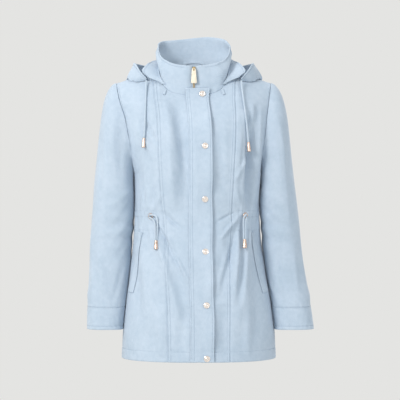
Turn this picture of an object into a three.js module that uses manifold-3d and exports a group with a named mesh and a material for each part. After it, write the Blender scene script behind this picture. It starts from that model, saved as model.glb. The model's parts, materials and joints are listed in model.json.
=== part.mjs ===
// A women's parka, empty but filled out as if it were worn: storm flap snapped shut, collar
// standing, hood folded back on the shoulders. Millimetres, +Z up. The front faces -Y, and the
// origin is at the base of the wearer's neck. Left and right are as seen from in front.
import Module from 'manifold-3d';
import * as THREE from 'three';
import { mergeVertices } from 'three/addons/utils/BufferGeometryUtils.js';

const wasm = await Module();
wasm.setup();

const table = (names, rows) => rows.map((row) => Object.fromEntries(names.map((name, i) => [name, row[i]])));

const CLOTH = 2.0;
const COLLAR_CLOTH = 2.6;
const FLAP_CLOTH = 1.8;
const SEAM_GAP = 0.3;
const HEM_Z = -702;
const UNDERARM_Z = -238;
const ROUND = 2 / 2.3;

const NECK_HALF = 86;
const NECK_SIDE_Z = 30;
const NECK_FRONT_DROP = 73;
const NECK_BACK_RISE = 8;
const SHOULDER_TIP_HALF = 195;
const SHOULDER_TIP_Z = -9;
const ARMHOLE_DEPTH = 58;
const ARMHOLE_DEEPEST_Z = -140;
const SPINE_RISE = 46;
const NECKLINE_POWER = 3;
// How far below the crest the torso is at full depth, and the power of the curve that leads there.
const ROUNDING = { front: 125, middle: 75, reach: 110, back: 130, power: 0.62 };
const ZIP_HALF = 5.0;

const LOWER_ROWS = 14;
const UPPER_ROWS = 10;

// Height of each torso section, its middle in X, half its width, and its depth in front and behind.
const TORSO = table(['z', 'middle', 'half', 'front', 'back'], [
  [60, -8, 195, 98, 88],
  [-9, -8, 195, 104, 96],
  [-53, -7, 188, 110, 104],
  [-91, -3, 179, 118, 111],
  [-129, -1, 173, 126, 115],
  [-161, 0, 168.5, 131, 116],
  [-212, 0, 162.5, 135, 113],
  [-238, 0, 160, 134, 110],
  [-290, 0, 158.6, 127, 103],
  [-348, 0, 158.5, 119, 99],
  [-410, 0.5, 162, 127, 110],
  [-452, 1.5, 168, 135, 121],
  [-510, 2.5, 175.5, 143, 131],
  [-549, 3.5, 182, 148, 136],
  [-627, 4.5, 191.5, 152, 140],
  [HEM_Z, 4.5, 195, 153, 142],
]);

// Distance of each princess seam from the middle, by height.
const PRINCESS = table(['z', 'left', 'right'], [
  [40, 108, 107],
  [-58, 98, 102],
  [-185, 96, 94],
  [-320, 88, 87],
  [-376, 82, 86],
  [-543, 78, 79],
  [HEM_Z, 75, 77],
]);

// Sleeve rings from the armhole to the cuff: outermost point, innermost point, half depth, middle Y.
const SLEEVE_COLUMNS = ['outX', 'outZ', 'inX', 'inZ', 'depth', 'midY'];
const SLEEVE_LEFT = table(SLEEVE_COLUMNS, [
  [202, -9, 160.7, -238, 58, 0],
  [214, -14, 160.9, -241, 61, 1],
  [226, -29, 161.1, -245, 64, 2],
  [236, -56, 161.3, -251, 67, 3],
  [243, -95, 161.4, -259, 69, 4],
  [249, -145, 161.4, -270, 71, 5],
  [255, -205, 161.4, -287, 72, 6],
  [261, -265, 161.5, -308, 71, 7],
  [265, -325, 162.2, -337, 68, 8],
  [269, -375, 164.6, -375, 65, 9],
  [272, -420, 168.5, -420, 61.5, 8],
  [273, -465, 170.6, -465, 59, 5],
  [274.5, -510, 175.8, -510, 56, 1],
  [276, -545, 181, -545, 54, -4],
  [277, -576, 184.8, -576, 52, -8],
]);
const SLEEVE_RIGHT = table(SLEEVE_COLUMNS, [
  [188, -9, 160.7, -238, 58, 0],
  [199, -14, 160.9, -241, 61, 1],
  [211, -29, 161.1, -245, 64, 2],
  [221, -56, 161.3, -251, 67, 3],
  [229, -95, 161.4, -259, 69, 4],
  [235, -145, 161.4, -270, 71, 5],
  [241, -205, 161.5, -287, 72, 6],
  [248, -265, 161.8, -308, 71, 7],
  [255.5, -325, 163, -337, 68, 8],
  [261, -375, 166, -375, 65, 9],
  [265, -420, 168.5, -420, 61.5, 8],
  [270.5, -465, 174, -465, 59, 5],
  [278, -510, 181, -510, 56, 1],
  [284, -545, 188, -545, 54, -4],
  [288, -576, 192.6, -576, 52, -8],
]);
const CUFF_LEFT = table(SLEEVE_COLUMNS, [
  [277, -576, 184.8, -576, 52, -8],
  [277.5, -602, 187.6, -602, 50, -11],
  [277, -629, 190.2, -629, 48, -14],
]);
const CUFF_RIGHT = table(SLEEVE_COLUMNS, [
  [288, -576, 192.6, -576, 52, -8],
  [291.5, -602, 195.8, -602, 50, -11],
  [294.5, -629, 199, -629, 48, -14],
]);
const SLEEVE_STEPS = 22;
const CUFF_STEPS = 3;
const CUFF_EXTRA = 0.6;
const SLEEVE_ROUND = 0.93;
// The share of a sleeve over which it turns from the armhole's outline to its own.
const ARMHOLE_FADE = 0.3;
// Wrinkles of a sleeve: where they are along it, how far they spread and how high they are.
const ELBOW = { share: 0.66, spread: 0.07, height: 4, ripples: 95, angle: 2.4 };
const WRIST = { share: 0.93, spread: 0.035, height: 2 };

// Large soft folds of the torso: from one end to the other in the distance from the middle and
// in height, width across the fold, and height of the ridge, or depth of the trough if negative.
const FOLDS = table(['face', 'side', 'x1', 'z1', 'x2', 'z2', 'width', 'height'], [
  ['front', 'right', 138, -70, 120, -330, 26, -6],
  ['front', 'right', 112, -80, 98, -320, 24, 4],
  ['front', 'left', 128, -80, 122, -320, 26, -4],
  ['front', 'left', 112, -330, 20, -560, 34, -6],
  ['front', 'left', 84, -350, 40, -620, 30, 5],
  ['front', 'left', 140, -370, 110, -640, 34, 5],
  ['front', 'right', 96, -360, 50, -560, 30, -6],
  ['front', 'right', 120, -380, 95, -640, 30, 5],
  ['front', 'right', 150, -380, 140, -660, 30, -5],
  ['back', 'left', 60, -360, 40, -640, 34, 5],
  ['back', 'left', 110, -350, 120, -640, 34, -5],
  ['back', 'right', 20, -365, 30, -660, 36, -5],
  ['back', 'right', 90, -355, 105, -640, 34, 5],
  ['back', 'left', 90, -120, 60, -320, 34, -4],
  ['back', 'right', 110, -110, 80, -320, 34, 4],
]);

const COLLAR_TOP_HALF = 92;
const COLLAR_TOP_FRONT = 84;
const COLLAR_TOP_BACK = 74;
const COLLAR_BULGE = 9;
const COLLAR_ROWS = 5;
const COLLAR_ROUND = 2.4;
const COLLAR_TUCK = 0.7;
const COLLAR_FLAT_TURN = 0.35;
// Height of the collar's top edge by the angle from the front, in degrees, on either side.
const COLLAR_TOP = table(['angle', 'left', 'right'], [
  [0, 27, 27],
  [30, 33, 33],
  [50, 45, 43],
  [70, 66, 60],
  [90, 88, 81],
  [115, 101, 104],
  [150, 108, 115],
  [180, 113, 113],
]);

const FLAP = { left: -19.5, right: 37, topZ: -27, bottomZ: HEM_Z + 1, rise: 3.0, wave: 3.2, sewn: 0.35 };
const FLAP_BRIDGE = { spread: 10, startZ: -75, fade: 20 };
const SNAP = { x: 20, topZ: -42, bottomZ: -693, count: 6, radius: 7.8, height: 3.2, seat: 0.7, topSeat: 2.4 };

const clamp = (value, low, high) => Math.min(high, Math.max(low, value));
const lerp = (a, b, t) => a + (b - a) * t;
const smooth = (t) => t * t * (3 - 2 * t);
const signedPower = (value, power) => Math.sign(value) * Math.abs(value) ** power;
const sideSign = { left: -1, right: 1 };
const faceSign = { front: -1, back: 1 };

// A smooth curve through one column of a table, by another column or by the row's number.
function through(rows, key, column) {
  const xs = rows.map((row, i) => (key === null ? i : row[key]));
  const ys = rows.map((row) => row[column]);
  const last = rows.length - 1;
  const slope = (i) => {
    const before = Math.max(0, i - 1);
    const after = Math.min(last, i + 1);
    return (ys[after] - ys[before]) / (xs[after] - xs[before]);
  };
  const falling = xs[last] < xs[0];
  return (x) => {
    let i = 0;
    while (i < last - 1 && (falling ? x < xs[i + 1] : x > xs[i + 1])) i += 1;
    const width = xs[i + 1] - xs[i];
    const t = clamp((x - xs[i]) / width, 0, 1);
    const a = slope(i) * width;
    const b = slope(i + 1) * width;
    const t2 = t * t;
    const t3 = t2 * t;
    return (2 * t3 - 3 * t2 + 1) * ys[i] + (t3 - 2 * t2 + t) * a + (3 * t2 - 2 * t3) * ys[i + 1] + (t3 - t2) * b;
  };
}

const middleAt = through(TORSO, 'z', 'middle');
const halfAt = through(TORSO, 'z', 'half');
const depthAt = { front: through(TORSO, 'z', 'front'), back: through(TORSO, 'z', 'back') };
const princessAt = { left: through(PRINCESS, 'z', 'left'), right: through(PRINCESS, 'z', 'right') };

// The crest of the shoulders: level inside the neck in front, rising towards the spine behind.
function crestAt(face, x) {
  if (x >= NECK_HALF) {
    const out = (x - NECK_HALF) / (SHOULDER_TIP_HALF - NECK_HALF);
    return lerp(NECK_SIDE_Z, SHOULDER_TIP_Z, out);
  }
  const inward = (1 - (x / NECK_HALF) ** 2) ** 0.8;
  return NECK_SIDE_Z + (face === 'back' ? SPINE_RISE * inward : 0);
}

// How far below the crest the torso reaches its full depth.
function roundingAt(face, x) {
  if (face === 'back') return ROUNDING.back;
  return ROUNDING.front + ROUNDING.middle * Math.max(0, 1 - (x / ROUNDING.reach) ** 2);
}

// The neck seam's height: a rounded square cut, low in front and nearly level behind.
function necklineAt(face, x) {
  const cut = Math.max(0, 1 - (x / NECK_HALF) ** NECKLINE_POWER) ** (1 / NECKLINE_POWER);
  return NECK_SIDE_Z + (face === 'front' ? -NECK_FRONT_DROP : NECK_BACK_RISE) * cut;
}

const topEdgeAt = (face, x) => (x < NECK_HALF ? necklineAt(face, x) : crestAt(face, x));

// The angle at which the torso's rounded section is cut off by the armhole.
function cutAngle(face, z) {
  if (z <= UNDERARM_Z) return Math.PI / 2;
  const drop = clamp((ARMHOLE_DEEPEST_Z - z) / (ARMHOLE_DEEPEST_Z - UNDERARM_Z), 0, 1);
  const armhole = ARMHOLE_DEPTH * Math.sqrt(1 - drop * drop);
  return Math.acos((armhole / depthAt[face](z)) ** (1 / ROUND));
}

// How far the folds lift the cloth: each is a smooth bump across its line that fades at its ends.
function foldAt(face, side, x, z) {
  let lift = 0;
  for (const fold of FOLDS) {
    if (fold.face !== face || fold.side !== side) continue;
    const along = clamp((fold.z1 - z) / (fold.z1 - fold.z2), 0, 1);
    const off = (x - lerp(fold.x1, fold.x2, along)) / fold.width;
    if (Math.abs(off) < 1) lift += fold.height * (1 - off * off) ** 2 * Math.sin(Math.PI * along) ** 0.7;
  }
  return lift;
}

// A point of the torso: turn is 0 at the middle and 1 at the side seam or armhole.
function torsoRaw(face, side, turn, z) {
  const cut = cutAngle(face, z);
  const angle = turn * cut;
  const x = halfAt(z) * signedPower(Math.sin(angle) / Math.sin(cut), ROUND);
  const full = depthAt[face](z) * signedPower(Math.cos(angle), ROUND);
  const below = clamp((crestAt(face, Math.abs(x)) - z) / roundingAt(face, Math.abs(x)), 0, 1);
  const depth = full * (1 - (1 - below) ** 2) ** ROUNDING.power;
  return new THREE.Vector3(middleAt(z) + sideSign[side] * x, faceSign[face] * depth, z);
}

const turnOf = (face, x, z) => {
  const cut = cutAngle(face, z);
  return Math.asin(clamp(Math.abs(x / halfAt(z)) ** (1 / ROUND) * Math.sin(cut), 0, 1)) / cut;
};

// The outward direction of the torso at a point, from small steps along its two directions.
function torsoNormal(face, side, turn, z) {
  const step = 0.004;
  const x = Math.abs(torsoRaw(face, side, turn, z).x - middleAt(z));
  const high = Math.min(z + 1, crestAt(face, x) - 0.05);
  const across = torsoRaw(face, side, turn + step, high - 1).sub(torsoRaw(face, side, turn - step, high - 1));
  const up = torsoRaw(face, side, turn, high).sub(torsoRaw(face, side, turn, high - 2));
  const normal = across.cross(up).normalize();
  return normal.multiplyScalar(-faceSign[face] * sideSign[side]);
}

// A torso point with its folds and its normal. Seams to the other face keep half the seam's gap.
function torsoPoint(face, side, turn, z, lift = 0) {
  const point = torsoRaw(face, side, turn, z);
  const normal = torsoNormal(face, side, turn, z);
  const x = Math.abs(point.x - middleAt(z));
  const onCrest = x > NECK_HALF - 0.5 && z > crestAt(face, x) - 0.02;
  const onSide = turn > 0.9999 && z <= UNDERARM_Z + 0.01;
  if (onCrest || onSide) {
    normal.y = 0;
    if (onSide && !onCrest) normal.z = 0;
    normal.normalize();
  }
  point.addScaledVector(normal, lift + foldAt(face, side, x, z) * smooth(clamp((1 - turn) * 6, 0, 1)));
  point.y = faceSign[face] * Math.max(Math.abs(point.y), SEAM_GAP / 2);
  return { point, normal };
}

const sampleAt = (face, side, x, z, lift = 0) => torsoPoint(face, side, turnOf(face, x, z), z, lift);

// A closed wall from rows of outer points and rows of inner points; a tube joins its columns up.
function wallGeometry(outer, inner, tube = false) {
  const rows = outer.length;
  const columns = outer[0].length;
  const positions = [...outer.flat(), ...inner.flat()].flatMap((p) => [p.x, p.y, p.z]);
  const indices = [];
  const at = (layer, r, c) => layer * rows * columns + r * columns + (c % columns);
  const quad = (a, b, c, d) => indices.push(a, b, c, a, c, d);
  const lastColumn = tube ? columns : columns - 1;
  for (let r = 0; r < rows - 1; r += 1) {
    for (let c = 0; c < lastColumn; c += 1) {
      quad(at(0, r, c), at(0, r, c + 1), at(0, r + 1, c + 1), at(0, r + 1, c));
      quad(at(1, r, c), at(1, r + 1, c), at(1, r + 1, c + 1), at(1, r, c + 1));
    }
  }
  for (let c = 0; c < lastColumn; c += 1) {
    quad(at(0, 0, c), at(1, 0, c), at(1, 0, c + 1), at(0, 0, c + 1));
    quad(at(0, rows - 1, c), at(0, rows - 1, c + 1), at(1, rows - 1, c + 1), at(1, rows - 1, c));
  }
  if (!tube) {
    for (let r = 0; r < rows - 1; r += 1) {
      quad(at(0, r, 0), at(0, r + 1, 0), at(1, r + 1, 0), at(1, r, 0));
      const end = columns - 1;
      quad(at(0, r, end), at(1, r, end), at(1, r + 1, end), at(0, r + 1, end));
    }
  }
  const geometry = new THREE.BufferGeometry();
  geometry.setAttribute('position', new THREE.Float32BufferAttribute(positions, 3));
  geometry.setIndex(signedVolume(positions, indices) < 0 ? flipped(indices) : indices);
  geometry.computeVertexNormals();
  return geometry;
}

function signedVolume(positions, indices) {
  const corner = (i) => new THREE.Vector3().fromArray(positions, 3 * i);
  let sum = 0;
  for (let i = 0; i < indices.length; i += 3) {
    sum += corner(indices[i]).dot(corner(indices[i + 1]).cross(corner(indices[i + 2])));
  }
  return sum / 6;
}

function flipped(indices) {
  const result = [];
  for (let i = 0; i < indices.length; i += 3) result.push(indices[i], indices[i + 2], indices[i + 1]);
  return result;
}

// A wall from samples that each hold a point and its normal.
function wallFromSamples(grid, thickness, tube = false) {
  const outer = grid.map((row) => row.map((s) => s.point));
  const inner = grid.map((row) => row.map((s) => s.point.clone().addScaledVector(s.normal, -thickness)));
  return wallGeometry(outer, inner, tube);
}

const parka = new THREE.Group();
const cloth = { color: 0xc6d7e5, roughness: 0.85, metalness: 0 };
const clothDark = { color: 0xb4c7d8, roughness: 0.85, metalness: 0 };
const roseMetal = { color: 0xe6cdbd, roughness: 0.28, metalness: 1 };
const goldMetal = { color: 0xb89a60, roughness: 0.35, metalness: 1 };
const paleGold = { color: 0xefe2c8, roughness: 0.3, metalness: 1 };

function addMesh(name, geometry, finish, parent = parka) {
  const mesh = new THREE.Mesh(geometry, new THREE.MeshStandardMaterial({ ...finish, name: `${name}_finish` }));
  mesh.name = name;
  parent.add(mesh);
  return mesh;
}

// Torso rows: even steps from the hem to the underarm, then steps that crowd at both ends of the
// armhole. A row's number gives its share of the height of each column.
const underarmShare = (UNDERARM_Z - HEM_Z) / (SHOULDER_TIP_Z - HEM_Z);
const rowShares = [
  ...Array.from({ length: LOWER_ROWS }, (_, i) => (underarmShare * i) / LOWER_ROWS),
  ...Array.from({ length: UPPER_ROWS + 1 }, (_, i) =>
    lerp(underarmShare, 1, (1 - Math.cos((Math.PI * i) / UPPER_ROWS)) / 2)),
];

// The neck's columns stand closer where the seam turns up to the shoulder.
const neckShare = (i, count) => signedPower(Math.sin((Math.PI / 2) * (i / count)), 2 / 3);

// One column of the torso, from its place on the top edge and its place lower down.
function torsoColumn(face, side, topX, placeAt) {
  const topZ = topEdgeAt(face, topX) - 0.004;
  return rowShares.map((share) => {
    const z = lerp(HEM_Z, topZ, share);
    return torsoPoint(face, side, placeAt(z, share), z);
  });
}

const NECK_COLUMN_HEM_X = 64;
const neckColumnX = (share) => lerp(NECK_COLUMN_HEM_X, NECK_HALF, share ** 3);
const CENTRE_COLUMNS = 5;
const SIDE_COLUMNS = 5;

// Centre columns run from the zip or the middle to the neck's corner, and on to the princess seam.
function centreColumns(face, side, startX, endAt) {
  const columns = [];
  for (let i = 0; i <= CENTRE_COLUMNS; i += 1) {
    const topX = lerp(startX, NECK_HALF, neckShare(i, CENTRE_COLUMNS));
    columns.push(torsoColumn(face, side, topX, (z, share) => {
      const even = lerp(startX, neckColumnX(share), i / CENTRE_COLUMNS);
      return turnOf(face, lerp(even, topX, share ** 3), z);
    }));
  }
  if (endAt) {
    const topX = endAt(NECK_SIDE_Z);
    columns.push(torsoColumn(face, side, topX, (z) => turnOf(face, endAt(z), z)));
  }
  return columns;
}

// Side columns run from a seam to the side seam and armhole, evenly in the angle of turn.
function sideColumns(face, side, startAt, count) {
  const topStart = startAt(NECK_SIDE_Z, 1);
  return Array.from({ length: count + 1 }, (_, i) => {
    const topX = lerp(topStart, SHOULDER_TIP_HALF, i / count);
    return torsoColumn(face, side, topX, (z, share) => {
      const start = turnOf(face, startAt(z, share), z);
      return lerp(start, 1, i / count);
    });
  });
}

const transpose = (columns) => columns[0].map((_, r) => columns.map((column) => column[r]));

for (const side of ['left', 'right']) {
  const seamAt = (z) => princessAt[side](z) - SEAM_GAP / 2;
  const beyondAt = (z) => princessAt[side](z) + SEAM_GAP / 2;
  const centre = centreColumns('front', side, ZIP_HALF + SEAM_GAP, seamAt);
  addMesh(`front_centre_${side}`, wallFromSamples(transpose(centre), CLOTH), cloth);
  const outside = sideColumns('front', side, beyondAt, SIDE_COLUMNS);
  addMesh(`front_side_${side}`, wallFromSamples(transpose(outside), CLOTH), cloth);
}

const backHalf = (side) => {
  const middle = centreColumns('back', side, 0, null);
  const neckEdge = (z, share) => neckColumnX(share);
  return [...middle, ...sideColumns('back', side, neckEdge, SIDE_COLUMNS + 1).slice(1)];
};
const backColumns = [...backHalf('left').reverse(), ...backHalf('right').slice(1)];
addMesh('back', wallFromSamples(transpose(backColumns), CLOTH), cloth);

// The armhole as a ring: tip of the shoulder, down the front, under the arm and up the back.
function armholeRing(side) {
  const edge = (face) => rowShares.slice(LOWER_ROWS).map((share) => {
    const z = lerp(HEM_Z, SHOULDER_TIP_Z - 0.004, share);
    return torsoPoint(face, side, 1, z);
  });
  const front = edge('front').reverse();
  const back = edge('back');
  return [...front, ...back.slice(1, -1)].map((s) => {
    const point = s.point.clone();
    if (Math.abs(point.y) < SEAM_GAP) point.y = 0;
    return { point, normal: s.normal };
  });
}

// A point on a sleeve ring's rounded oval: share runs along the rings, angle 0 is outermost.
function sleeveOval(rows, side, share, angle) {
  const at = (column) => through(rows, null, column)(share * (rows.length - 1));
  const outer = new THREE.Vector3(sideSign[side] * at('outX'), at('midY'), at('outZ'));
  const inner = new THREE.Vector3(sideSign[side] * at('inX'), at('midY'), at('inZ'));
  const across = signedPower(Math.cos(angle), SLEEVE_ROUND);
  const deep = -at('depth') * signedPower(Math.sin(angle), SLEEVE_ROUND);
  const point = outer.clone().add(inner).multiplyScalar(0.5);
  point.addScaledVector(outer.sub(inner), across / 2);
  point.y += deep;
  return point;
}

// Wrinkles that ring the arm at the elbow and crowd above the cuff.
function armFold(share, angle) {
  const near = ({ share: centre, spread }) => Math.exp(-(((share - centre) / spread) ** 2));
  const elbow = near(ELBOW) * ELBOW.height * Math.sin(share * ELBOW.ripples + angle);
  const wrist = near(WRIST) * WRIST.height * Math.sin(2 * angle + 1);
  return elbow * Math.max(0, Math.cos(angle - ELBOW.angle)) + wrist;
}

// Outer points and normals of a sleeve or cuff, ring by ring. A sleeve starts on its armhole.
function armTube(rows, side, steps, start = null, lift = 0) {
  const count = 2 * UPPER_ROWS;
  const angles = Array.from({ length: count }, (_, k) => (2 * Math.PI * k) / count);
  const surface = (share, k) => {
    const angle = angles[(k + count) % count];
    const point = sleeveOval(rows, side, share, angle);
    if (start) {
      const fade = 1 - smooth(clamp(share / ARMHOLE_FADE, 0, 1));
      const base = sleeveOval(rows, side, 0, angle);
      point.addScaledVector(start[(k + count) % count].point.clone().sub(base), fade);
    }
    return point;
  };
  const rings = Array.from({ length: steps + 1 }, (_, r) => {
    const share = r / steps;
    return angles.map((angle, k) => {
      const point = surface(share, k);
      const around = surface(share, k + 1).sub(surface(share, k - 1));
      const low = Math.max(0, share - 0.01);
      const along = surface(Math.min(1, low + 0.02), k).sub(surface(low, k));
      const normal = around.cross(along).normalize().multiplyScalar(sideSign[side]);
      point.addScaledVector(normal, lift + (start ? armFold(share, angle) : 0));
      return { point, normal };
    });
  });
  if (start) {
    rings[0].forEach((sample, k) => {
      const leaving = rings[1][k].point.clone().sub(start[k].point).normalize();
      const bendsOut = start[k].normal.dot(leaving) < 0;
      sample.point.copy(start[k].point).addScaledVector(leaving, SEAM_GAP);
      sample.point.x += sideSign[side] * SEAM_GAP;
      if (bendsOut) sample.normal.copy(start[k].normal);
    });
  }
  return rings;
}

const sleeveRows = { left: SLEEVE_LEFT, right: SLEEVE_RIGHT };
const cuffRows = { left: CUFF_LEFT, right: CUFF_RIGHT };
for (const side of ['left', 'right']) {
  const sleeve = armTube(sleeveRows[side], side, SLEEVE_STEPS, armholeRing(side));
  addMesh(`sleeve_${side}`, wallFromSamples(sleeve, CLOTH, true), cloth);
  const cuff = armTube(cuffRows[side], side, CUFF_STEPS, null, CUFF_EXTRA);
  cuff[0].forEach((sample) => { sample.point.z -= SEAM_GAP; });
  addMesh(`cuff_${side}`, wallFromSamples(cuff, CLOTH + CUFF_EXTRA, true), cloth);
}

// The collar stands on the neck seam: from the zip round the back to the zip again.
const collarTopZ = { left: through(COLLAR_TOP, 'angle', 'left'), right: through(COLLAR_TOP, 'angle', 'right') };
const neckSeam = (() => {
  const topOf = (column) => column[column.length - 1].point;
  const half = (face, side, start) => centreColumns(face, side, start, null).map(topOf);
  const zipStart = ZIP_HALF + SEAM_GAP;
  return [
    ...half('front', 'left', zipStart),
    ...half('back', 'left', 0).reverse().slice(1),
    ...half('back', 'right', 0).slice(1, -1),
    ...half('front', 'right', zipStart).reverse(),
  ];
})();

const collarMiddle = middleAt(20);

// A point of the neck seam between two of its corners.
function neckSeamAt(index) {
  const near = clamp(Math.floor(index), 0, neckSeam.length - 2);
  return neckSeam[near].clone().lerp(neckSeam[near + 1], index - near);
}

// A collar point above a point of the neck seam: share 0 is the seam and 1 the top edge.
function collarPoint(seamPoint, share, lift = 0) {
  const angle = Math.atan2(seamPoint.x - collarMiddle, -seamPoint.y);
  const turn = Math.abs(angle);
  const deep = turn < Math.PI / 2 ? COLLAR_TOP_FRONT : COLLAR_TOP_BACK;
  const out = new THREE.Vector3(Math.sin(angle), -Math.cos(angle), 0);
  const wide = (Math.abs(out.x) / COLLAR_TOP_HALF) ** COLLAR_ROUND;
  const reach = (wide + (Math.abs(out.y) / deep) ** COLLAR_ROUND) ** (-1 / COLLAR_ROUND);
  const topZ = collarTopZ[angle < 0 ? 'left' : 'right']((turn * 180) / Math.PI);
  const top = new THREE.Vector3(collarMiddle, 0, topZ).addScaledVector(out, reach);
  if (turn < COLLAR_FLAT_TURN) top.x = seamPoint.x;
  const lean = Math.sin(turn) ** 2;
  const across = lerp(share, share * share, lean);
  const point = new THREE.Vector3(lerp(seamPoint.x, top.x, across), lerp(seamPoint.y, top.y, across), 0);
  point.z = lerp(seamPoint.z + SEAM_GAP, top.z, share);
  const bulge = COLLAR_BULGE * Math.sin(Math.PI * share ** 1.4) ** 2 * lean;
  const tuck = COLLAR_TUCK * lean * (1 - share);
  return point.addScaledVector(out, bulge + lift - tuck);
}

const collarRows = Array.from({ length: COLLAR_ROWS + 1 }, (_, r) => r / COLLAR_ROWS);
const collarSamples = collarRows.map((share) => neckSeam.map((seam) => {
  const angle = Math.atan2(seam.x - collarMiddle, -seam.y);
  const normal = new THREE.Vector3(Math.sin(angle), -Math.cos(angle), 0);
  if (Math.abs(angle) < COLLAR_FLAT_TURN) normal.set(0, -1, 0);
  return { point: collarPoint(seam, share), normal };
}));
addMesh('collar', wallFromSamples(collarSamples, COLLAR_CLOTH), cloth);

// The front of the torso, or of the collar above the neck seam, at a place in front of the body.
function frontSurface(x, z, lift = 0) {
  const side = x < 0 ? 'left' : 'right';
  const seamZ = necklineAt('front', Math.abs(x)) - 0.004;
  if (z <= seamZ) return sampleAt('front', side, Math.abs(x), z, lift);
  const seam = sampleAt('front', side, Math.abs(x), seamZ).point;
  const top = collarPoint(seam, 1);
  const share = clamp((z - seam.z) / (top.z - seam.z), 0, 1.2);
  const point = collarPoint(seam, share, lift);
  return { point, normal: new THREE.Vector3(0, -1, 0) };
}

const ZIP_TOP_Z = 22;
const ZIP_BOTTOM_Z = HEM_Z + 40;
const ZIP_ROWS = 34;
const ZIP_SINK = -0.2;
const ZIP_THICKNESS = 1.6;
const zip = Array.from({ length: ZIP_ROWS + 1 }, (_, r) => {
  const z = lerp(ZIP_TOP_Z, ZIP_BOTTOM_Z, r / ZIP_ROWS);
  return [-ZIP_HALF, 0.01, ZIP_HALF].map((x) => frontSurface(x, z, ZIP_SINK));
});
addMesh('zip_strip', wallFromSamples(zip, ZIP_THICKNESS), goldMetal);

// The storm flap lies over the zip; its free edge lifts a little between the snaps.
const snapZ = (i) => lerp(SNAP.topZ, SNAP.bottomZ, i / (SNAP.count - 1));
const snapPitch = (SNAP.topZ - SNAP.bottomZ) / (SNAP.count - 1);
const flapLift = (across, z) => {
  const between = Math.sin((Math.PI * (SNAP.topZ - z)) / snapPitch) ** 2;
  const free = smooth(clamp((across - FLAP.sewn) / (1 - FLAP.sewn), 0, 1));
  return FLAP.rise + FLAP.wave * between * free;
};

// The flap bridges the bend at the neck seam: each point is the mean of three, one above another.
function flapPoint(x, z, lift) {
  const spread = FLAP_BRIDGE.spread * smooth(clamp((z - FLAP_BRIDGE.startZ) / FLAP_BRIDGE.fade, 0, 1));
  const samples = [z - spread, z, z + spread].map((height) => frontSurface(x, height, lift));
  const point = samples.reduce((sum, s) => sum.add(s.point), new THREE.Vector3()).divideScalar(3);
  const normal = samples.reduce((sum, s) => sum.add(s.normal), new THREE.Vector3()).normalize();
  return { point, normal };
}

const FLAP_ROWS = 40;
const FLAP_COLUMNS = 4;
const flap = Array.from({ length: FLAP_ROWS + 1 }, (_, r) => {
  const z = lerp(FLAP.topZ, FLAP.bottomZ, r / FLAP_ROWS);
  return Array.from({ length: FLAP_COLUMNS + 1 }, (__, c) => {
    const across = c / FLAP_COLUMNS;
    return flapPoint(lerp(FLAP.left, FLAP.right, across), z, flapLift(across, z));
  });
});
addMesh('storm_flap', wallFromSamples(flap, FLAP_CLOTH), cloth);

// A round cap, flat on its underside, from the rings of its profile.
const lathe = (profile, segments) =>
  new THREE.LatheGeometry(profile.map(([r, h]) => new THREE.Vector2(r, h)), segments);
const capProfile = (radius, height) =>
  [[0, 0], [radius * 0.94, 0], [radius, height * 0.35], [radius * 0.8, height * 0.9], [0, height]];

// Turns a shape made along +Y so that it stands on a point and faces along its normal.
function standOn(mesh, point, normal) {
  mesh.quaternion.setFromUnitVectors(new THREE.Vector3(0, 1, 0), normal.clone().normalize());
  mesh.position.copy(point);
  return mesh;
}

for (let i = 0; i < SNAP.count; i += 1) {
  const across = (SNAP.x - FLAP.left) / (FLAP.right - FLAP.left);
  const z = snapZ(i);
  const seat = flapPoint(SNAP.x, z, flapLift(across, z) + (i === 0 ? SNAP.topSeat : SNAP.seat));
  const cap = addMesh(`snap_${i + 1}`, lathe(capProfile(SNAP.radius, SNAP.height), 14), roseMetal);
  standOn(cap, seat.point, seat.normal);
}

// The hood hangs as an open trough round the neck. Its sections run from the front corner at the
// viewer's left to the middle of the back and are the same on the right. Each goes from the inner
// rim down to the neck seam, out over the shoulder or back to the bottom, and up to the outer rim.
// Out is the distance from the middle of the neck; the last row is past the middle of the back.
const HOOD = table(['innerOut', 'innerY', 'innerZ', 'baseOut', 'baseY', 'baseZ', 'outerOut', 'outerY', 'outerZ'], [
  [114, -60, 3, 118, -48, -10, 119, -62, -2],
  [129, -49, 20, 145, -38, -8, 135, -51, 17],
  [116, -25, 38, 162, -16, 0, 146, -31, 34],
  [108, 4, 45, 169, 12, 0, 151, -3, 38],
  [100, 30, 51, 172, 44, -31, 153, 38, 41],
  [90, 54, 57, 163, 84, -80, 144, 83, 41],
  [66, 80, 62, 128, 116, -130, 111, 121, 36],
  [0, 94, 64, 0, 142, -168, 0, 150, 30],
  [-66, 80, 62, -128, 116, -130, -111, 121, 36],
]);
const HOOD_SEAM = { first: 2.5, last: 10 };
const HOOD_CLEARANCE = { front: 4.6, back: 7.5 };
const HOOD_HALF_STEPS = 15;
const HOOD_ROOT = { share: 0.16, lift: 1.4 };
// Places along a section: 0 is the inner rim, 1 the neck seam, 2 the bottom and 3 the outer rim.
const HOOD_PLACES = [0, 0.34, 0.67, 0.9, 1, 1.12, 1.35, 1.6, 1.8, 2, 2.2, 2.45, 2.7, 3];

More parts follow.
